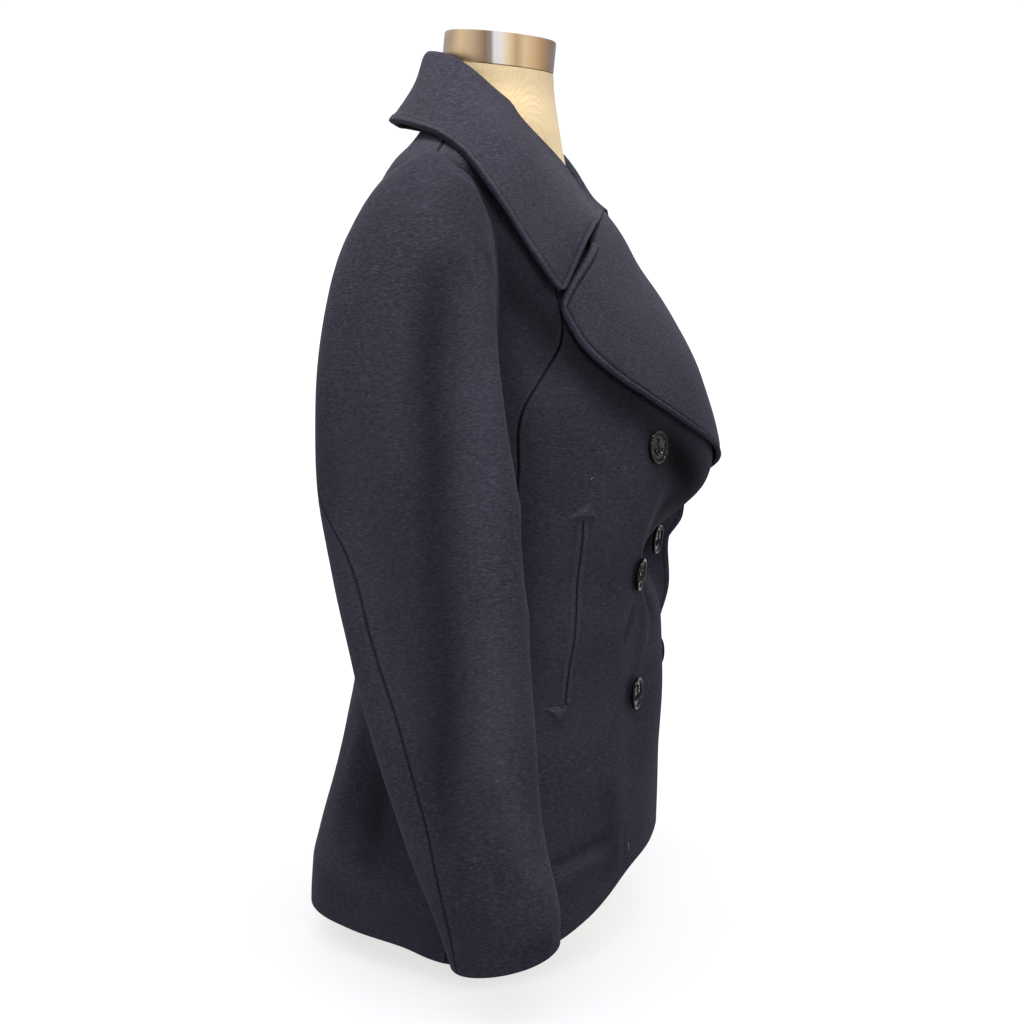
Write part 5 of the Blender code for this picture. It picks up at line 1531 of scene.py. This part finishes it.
def melton_material():
    """Felted navy wool: short nap, a faint grain, broad unevenness and lint, with painted shade and
    highlights from the painted shading attribute.
    """
    n = Nodes("navy_melton")
    place = n.place()
    grain = n.noise(n.place(0.45, 0.45, 1.30), 520.0, 4.0, 0.66)
    fleck = n.noise(n.place(0.7, 0.7, 1.3), 1300.0, 2.0, 0.6)
    mottle = n.noise(n.place(0.8, 0.8, 1.2), 130.0, 3.0, 0.6)
    broad = n.noise(place, 11.0, 3.0, 0.5, 0.6)
    base = n.ramp(grain, (0.30, 0.0080, 0.0079, 0.0122), (0.50, 0.0157, 0.0153, 0.0222),
                  (0.72, 0.0288, 0.0277, 0.0378))
    base = n.mix(n.ramp(fleck, (0.58, 0.0), (0.80, 0.35)), base, (0.0480, 0.0465, 0.0590))
    base = n.mix(n.ramp(mottle, (0.35, 0.0), (0.70, 0.30)), base, (0.0114, 0.0112, 0.0176))
    base = n.mix(n.ramp(broad, (0.34, 0.0), (0.66, 0.25)), base, (0.0238, 0.0228, 0.0322))
    # Lint: short pale hairs caught in the nap, few and far between.
    hair = n.add("ShaderNodeTexVoronoi", {
        "Vector": n.place(0.8, 0.8, 1.5), "Scale": 130.0, "Randomness": 1.0}, feature="F1")
    bent = n.math("MULTIPLY", n.math("SUBTRACT", n.noise(place, 300.0, 2.0, 0.6), 0.5), 0.30)
    spot = n.ramp(n.math("ADD", hair.outputs["Distance"], bent), (0.035, 1.0), (0.085, 0.0))
    chosen = n.add("ShaderNodeSeparateColor", {"Color": hair.outputs["Color"]}).outputs[0]
    chosen = n.math("GREATER_THAN", chosen, 0.955)
    lint = n.math("MULTIPLY", n.math("MULTIPLY", spot, chosen), 0.30)
    base = n.mix(lint, base, (0.13, 0.13, 0.14))
    # Painted shade and highlight: the painted shading attribute scales the colour down where shade is painted
    # and up where a highlight is painted.
    painted_shading = n.add("ShaderNodeAttribute", {}, attribute_name="painted_shading").outputs["Fac"]
    shaded = {"Vector": base, "Scale": n.math("ADD", 1.0, painted_shading)}
    base = n.add("ShaderNodeVectorMath", shaded, operation="SCALE").outputs["Vector"]
    height = n.weighted((grain, 0.8), (fleck, 0.25), (mottle, 0.6), (lint, 0.6))
    return n.surface(
        base, Roughness=n.ramp(grain, (0.3, 0.98), (0.7, 0.86)), Normal=n.bump(height, 0.60, 0.0010),
        Sheen_Weight=0.02, Sheen_Roughness=0.42, Sheen_Tint=(0.62, 0.64, 0.86, 1.0), Specular_IOR_Level=0.03)


def thread_material():
    n = Nodes("navy_thread")
    ply = n.noise(n.place(), 2600.0, 2.0, 0.5)
    base = n.ramp(ply, (0.35, 0.0052, 0.0052, 0.0090), (0.65, 0.0140, 0.0136, 0.0205))
    return n.surface(base, Roughness=n.ramp(ply, (0.3, 0.70), (0.7, 0.55)),
                     Normal=n.bump(ply, 0.5, 0.0002), Specular_IOR_Level=0.15)


def lint_material():
    n = Nodes("pale_lint")
    dust = n.noise(n.place(), 1500.0, 2.0, 0.6)
    base = n.ramp(dust, (0.35, 0.10, 0.10, 0.11), (0.65, 0.22, 0.22, 0.23))
    return n.surface(base, Roughness=n.ramp(dust, (0.3, 0.95), (0.7, 0.80)),
                     Normal=n.bump(dust, 0.3, 0.0001), Specular_IOR_Level=0.1)


def linen_material():
    """Cream linen over the form: crossed yarns with slubs, a little soiled in places."""
    n = Nodes("cream_linen")
    place = n.place()
    weft = n.weave(place, "Z", 1.4, 1.3)
    warp = n.weave(n.place(1.0, 1.0, 0.02), "DIAGONAL", 1.2, 1.2)
    slub = n.noise(n.place(1.0, 1.0, 7.0), 90.0, 3.0, 0.6)
    stain = n.noise(place, 14.0, 3.0, 0.55)
    weave = n.math("MULTIPLY", weft, warp)
    base = n.ramp(weave, (0.0, 0.375, 0.290, 0.172), (0.9, 0.425, 0.338, 0.206))
    base = n.mix(n.ramp(slub, (0.55, 0.0), (0.75, 0.4)), base, (0.445, 0.362, 0.232))
    base = n.mix(n.ramp(stain, (0.35, 0.0), (0.75, 0.35)), base, (0.385, 0.292, 0.172))
    return n.surface(base, Roughness=n.ramp(slub, (0.3, 0.92), (0.7, 0.8)),
                     Normal=n.bump(n.weighted((weave, 0.8), (slub, 0.6)), 0.35, 0.0006),
                     Sheen_Weight=0.05, Specular_IOR_Level=0.2)


# Painted reflection on the polished neck cap: the studio's bright and dark bands, painted into its colour
# round its side as they lie on it, by the share of a turn from the back.
CAP_PAINTED_REFLECTION = [
    (0.000, 0.13, 0.09, 0.06), (0.050, 0.23, 0.16, 0.11), (0.090, 0.50, 0.29, 0.14),
    (0.150, 0.85, 0.62, 0.34), (0.175, 0.60, 0.40, 0.22), (0.200, 0.95, 0.72, 0.42),
    (0.215, 0.95, 0.88, 0.80), (0.238, 0.93, 0.86, 0.82), (0.245, 0.38, 0.32, 0.28),
    (0.262, 0.30, 0.20, 0.12), (0.300, 0.62, 0.44, 0.26), (0.345, 0.82, 0.60, 0.33),
    (0.385, 0.50, 0.36, 0.21), (0.450, 0.33, 0.26, 0.20), (0.520, 0.60, 0.44, 0.28),
    (0.580, 0.88, 0.74, 0.52), (0.640, 0.42, 0.30, 0.20), (0.700, 0.92, 0.84, 0.74),
    (0.760, 0.48, 0.34, 0.20), (0.820, 0.80, 0.60, 0.36), (0.880, 0.55, 0.40, 0.25),
    (0.940, 0.28, 0.20, 0.13), (1.000, 0.13, 0.09, 0.06)]


def metal_material():
    """Brushed nickel: fine upright scratches, and a painted reflection of broad bright and dark bands round
    the cap.
    """
    n = Nodes("brushed_nickel")
    place = n.add("ShaderNodeTexCoord", {}).outputs["Object"]
    parts = n.add("ShaderNodeSeparateXYZ", {"Vector": place}).outputs
    forward = n.math("ADD", parts["Y"], NECK_F * CM)
    turn = n.math("DIVIDE", n.math("ARCTAN2", parts["X"], forward), 2.0 * math.pi)
    turn = n.math("ADD", turn, 0.5)
    along = {"X": turn, "Y": 0.0, "Z": n.math("MULTIPLY", parts["Z"], 1.2)}
    scratch = n.noise(n.add("ShaderNodeCombineXYZ", along).outputs[0], 420.0, 4.0, 0.7)
    smudge = n.noise(place, 55.0, 3.0, 0.6)
    # Painted reflection: the studio's bands painted into the base colour by the turn round the cap.
    painted_reflection = n.ramp(turn, *CAP_PAINTED_REFLECTION, interpolation="LINEAR")
    base = n.mix(n.ramp(scratch, (0.35, 0.0), (0.75, 0.22)), painted_reflection, (0.30, 0.23, 0.17))
    base = n.mix(1.0, base, (0.80, 0.80, 0.80), "MULTIPLY")
    return n.surface(base, Roughness=n.ramp(smudge, (0.3, 0.30), (0.7, 0.45)),
                     Normal=n.bump(scratch, 0.15, 0.0003), Metallic=1.0, Anisotropic=0.4)


def horn_material():
    """Black horn: faint brown streaks and small scuffs."""
    n = Nodes("black_horn")
    streak = n.noise(n.place(1.0, 1.0, 4.0), 160.0, 4.0, 0.6, 0.8)
    scuff = n.noise(n.place(), 900.0, 3.0, 0.65)
    base = n.ramp(streak, (0.35, 0.0015, 0.0015, 0.0017), (0.62, 0.0030, 0.0027, 0.0024),
                  (0.80, 0.0070, 0.0056, 0.0042))
    base = n.mix(n.ramp(scuff, (0.62, 0.0), (0.80, 0.5)), base, (0.022, 0.021, 0.019))
    return n.surface(base, Roughness=n.ramp(scuff, (0.35, 0.10), (0.75, 0.24)),
                     Normal=n.bump(scuff, 0.12, 0.0002), Specular_IOR_Level=0.13)


def floor_material():
    """Pale and a little luminous, as a lit light table, so that shadows on it stay faint."""
    n = Nodes("pale_floor")
    base = n.ramp(n.noise(n.place(), 3.0, 3.0, 0.5), (0.2, 0.42), (0.8, 0.45))
    return n.surface(base, Roughness=0.9, Specular_IOR_Level=0.1,
                     Emission_Color=(1.0, 1.0, 1.0, 1.0), Emission_Strength=0.66)


# ---------------------------------------------------------------- camera and light
CAMERA_PLACE = (-1.7324, -0.2482, 0.596)
CAMERA_TURN = math.radians(7.5)     # the view turns this far from +X towards +Y
CAMERA_PITCH = math.radians(7.74)
CAMERA_LENS = 69.26


def aim(thing, place, ahead):
    thing.location = place
    thing.rotation_mode = "QUATERNION"
    thing.rotation_quaternion = Vector(ahead).to_track_quat("-Z", "Y")
    bpy.context.scene.collection.objects.link(thing)
    return thing


def add_camera():
    data = bpy.data.cameras.new("camera")
    data.lens, data.sensor_width = CAMERA_LENS, 36.0
    data.clip_start, data.clip_end = 0.05, 60.0
    level = math.cos(CAMERA_PITCH)
    ahead = (math.cos(CAMERA_TURN) * level, math.sin(CAMERA_TURN) * level, -math.sin(CAMERA_PITCH))
    bpy.context.scene.camera = aim(bpy.data.objects.new("camera", data), CAMERA_PLACE, ahead)


LIGHTS = [
    # name,     place,               aim,                cone, softness, power
    ("key",     (-0.28, -0.08, 3.00), (0.0, 0.0, 0.42),   26.0, 0.36,     720.0),
    ("near",    (-2.00, -0.55, 1.70), (0.0, 0.0, 0.42),   32.0, 0.34,     135.0),
    ("back",    (1.50, 1.80, 1.60),   (0.0, 0.0, 0.40),   32.0, 0.34,      90.0),
    ("far",     (2.10, 0.10, 1.80),   (0.0, 0.0, 0.40),   32.0, 0.34,     130.0),
]
FLOOR_REACH = 40.0    # metres each way
LIGHT_COLOUR = (1.0, 0.98, 0.91)
WORLD_COLOUR = (0.97, 0.99, 1.06, 1.0)
WORLD_STRENGTH = 1.12


def add_lights():
    """Soft spots for the cloth in an even pale surround; gives the spots."""
    lamps = []
    for name, place, target, cone, softness, power in LIGHTS:
        data = bpy.data.lights.new(name, "SPOT")
        data.spot_size, data.spot_blend = math.radians(cone), 0.7
        data.shadow_soft_size, data.energy = softness, power
        data.color = LIGHT_COLOUR
        lamps.append(aim(bpy.data.objects.new(name, data), place, Vector(target) - Vector(place)))
    world = bpy.data.worlds.new("studio")
    world.use_nodes = True
    surround = world.node_tree.nodes["Background"].inputs
    surround["Color"].default_value = WORLD_COLOUR
    surround["Strength"].default_value = WORLD_STRENGTH
    bpy.context.scene.world = world
    bpy.context.scene.view_settings.view_transform = "Standard"
    return lamps


def keep_off(lamps, others):
    """The spots light every piece but these, so the pale floor stays even and the spots add nothing to the
    cap's painted reflection.
    """
    lit = bpy.data.collections.new("lit_by_spots")
    for piece in bpy.context.scene.objects:
        if piece.type == "MESH" and piece not in others:
            lit.objects.link(piece)
    for lamp in lamps:
        lamp.light_linking.receiver_collection = lit


def add_floor():
    points = FLOOR_REACH * np.array([(-1.0, -1.0, 0.0), (1.0, -1.0, 0.0), (1.0, 1.0, 0.0), (-1.0, 1.0, 0.0)])
    floor = put_in_scene("floor", place_mesh("floor", points, np.array([(0, 1, 2, 3)])), floor_material())
    return floor


def lofted(full):
    """The left lapel's height: low where the right front covers it, full at its top."""
    return lambda t: UNDER_HEIGHT + (full(t) - UNDER_HEIGHT) * smooth((0.6 - t) / 0.3)


def front_stitches(outer):
    """The stitch row up the free edge, as far as the break."""
    below = int(np.argmax(outer[:, 0, 2] > BREAK_Z - BELOW_BREAK))
    normals = grid_normals(outer)[:, STITCH_AT]
    if normals[:, 1].mean() > 0.0:
        normals = -normals
    return outer[HEM_ROWS:below, STITCH_AT], normals[HEM_ROWS:below]


def build():
    melton, thread = melton_material(), thread_material()
    add_camera()
    lamps = add_lights()
    floor = add_floor()
    form = add_form(linen_material())
    cap = add_cap(metal_material())
    fronts = {"right": front_over, "left": front_under}
    pieces, edges = {}, {}
    side_top = FRONT_SEAM_TOP_Z - 3.0 * GAP
    for part, borders, top, kinds in (("front", front_borders, NECK_Z, ("stitched", "seam")),
                                      ("side", side_borders, side_top, ("seam", "seam")),
                                      ("back", back_borders, NECK_Z, ("seam", "seam"))):
        for side, surface in fronts.items():
            name = "%s_%s" % (part, side)
            surface = body if part == "back" else surface
            limits = borders if side == "right" else mirrored(borders)
            piece, edges[name] = add_panel(name + "_cloth", surface, limits, top, kinds, melton)
            pieces[name] = stand_for(piece, name)
    pieces.update(add_sleeves(melton))
    pieces["collar"], collar_rows = add_collar(melton)
    full = (lapel_height, lapel_edge)
    low = (lofted(lapel_height), lofted(lapel_edge))
    lapel_rows = {}
    for side, sign, heights in (("right", 1.0, full), ("left", -1.0, low)):
        name = "lapel_" + side
        pieces[name], lapel_rows[side] = add_lapel(name, fronts[side], sign, heights, melton)
    pockets, pocket_rows = add_pockets(melton, fronts)
    add_buttons(horn_material())

    details = {name: [] for name in pieces}
    details["collar"].append(add_stitches("stitches_collar", collar_rows, thread))
    for side, row in lapel_rows.items():
        details["lapel_" + side].append(add_stitches("stitches_lapel_" + side, [row], thread))
    for side in fronts:
        rows = [front_stitches(edges["front_" + side])] + pocket_rows[side]
        details["front_" + side] += pockets[side] + [add_stitches("stitches_front_" + side, rows, thread)]
    for name, lint in add_lint(lint_material()).items():
        details[name].append(lint)
    keep_off(lamps, (floor, cap))


build()
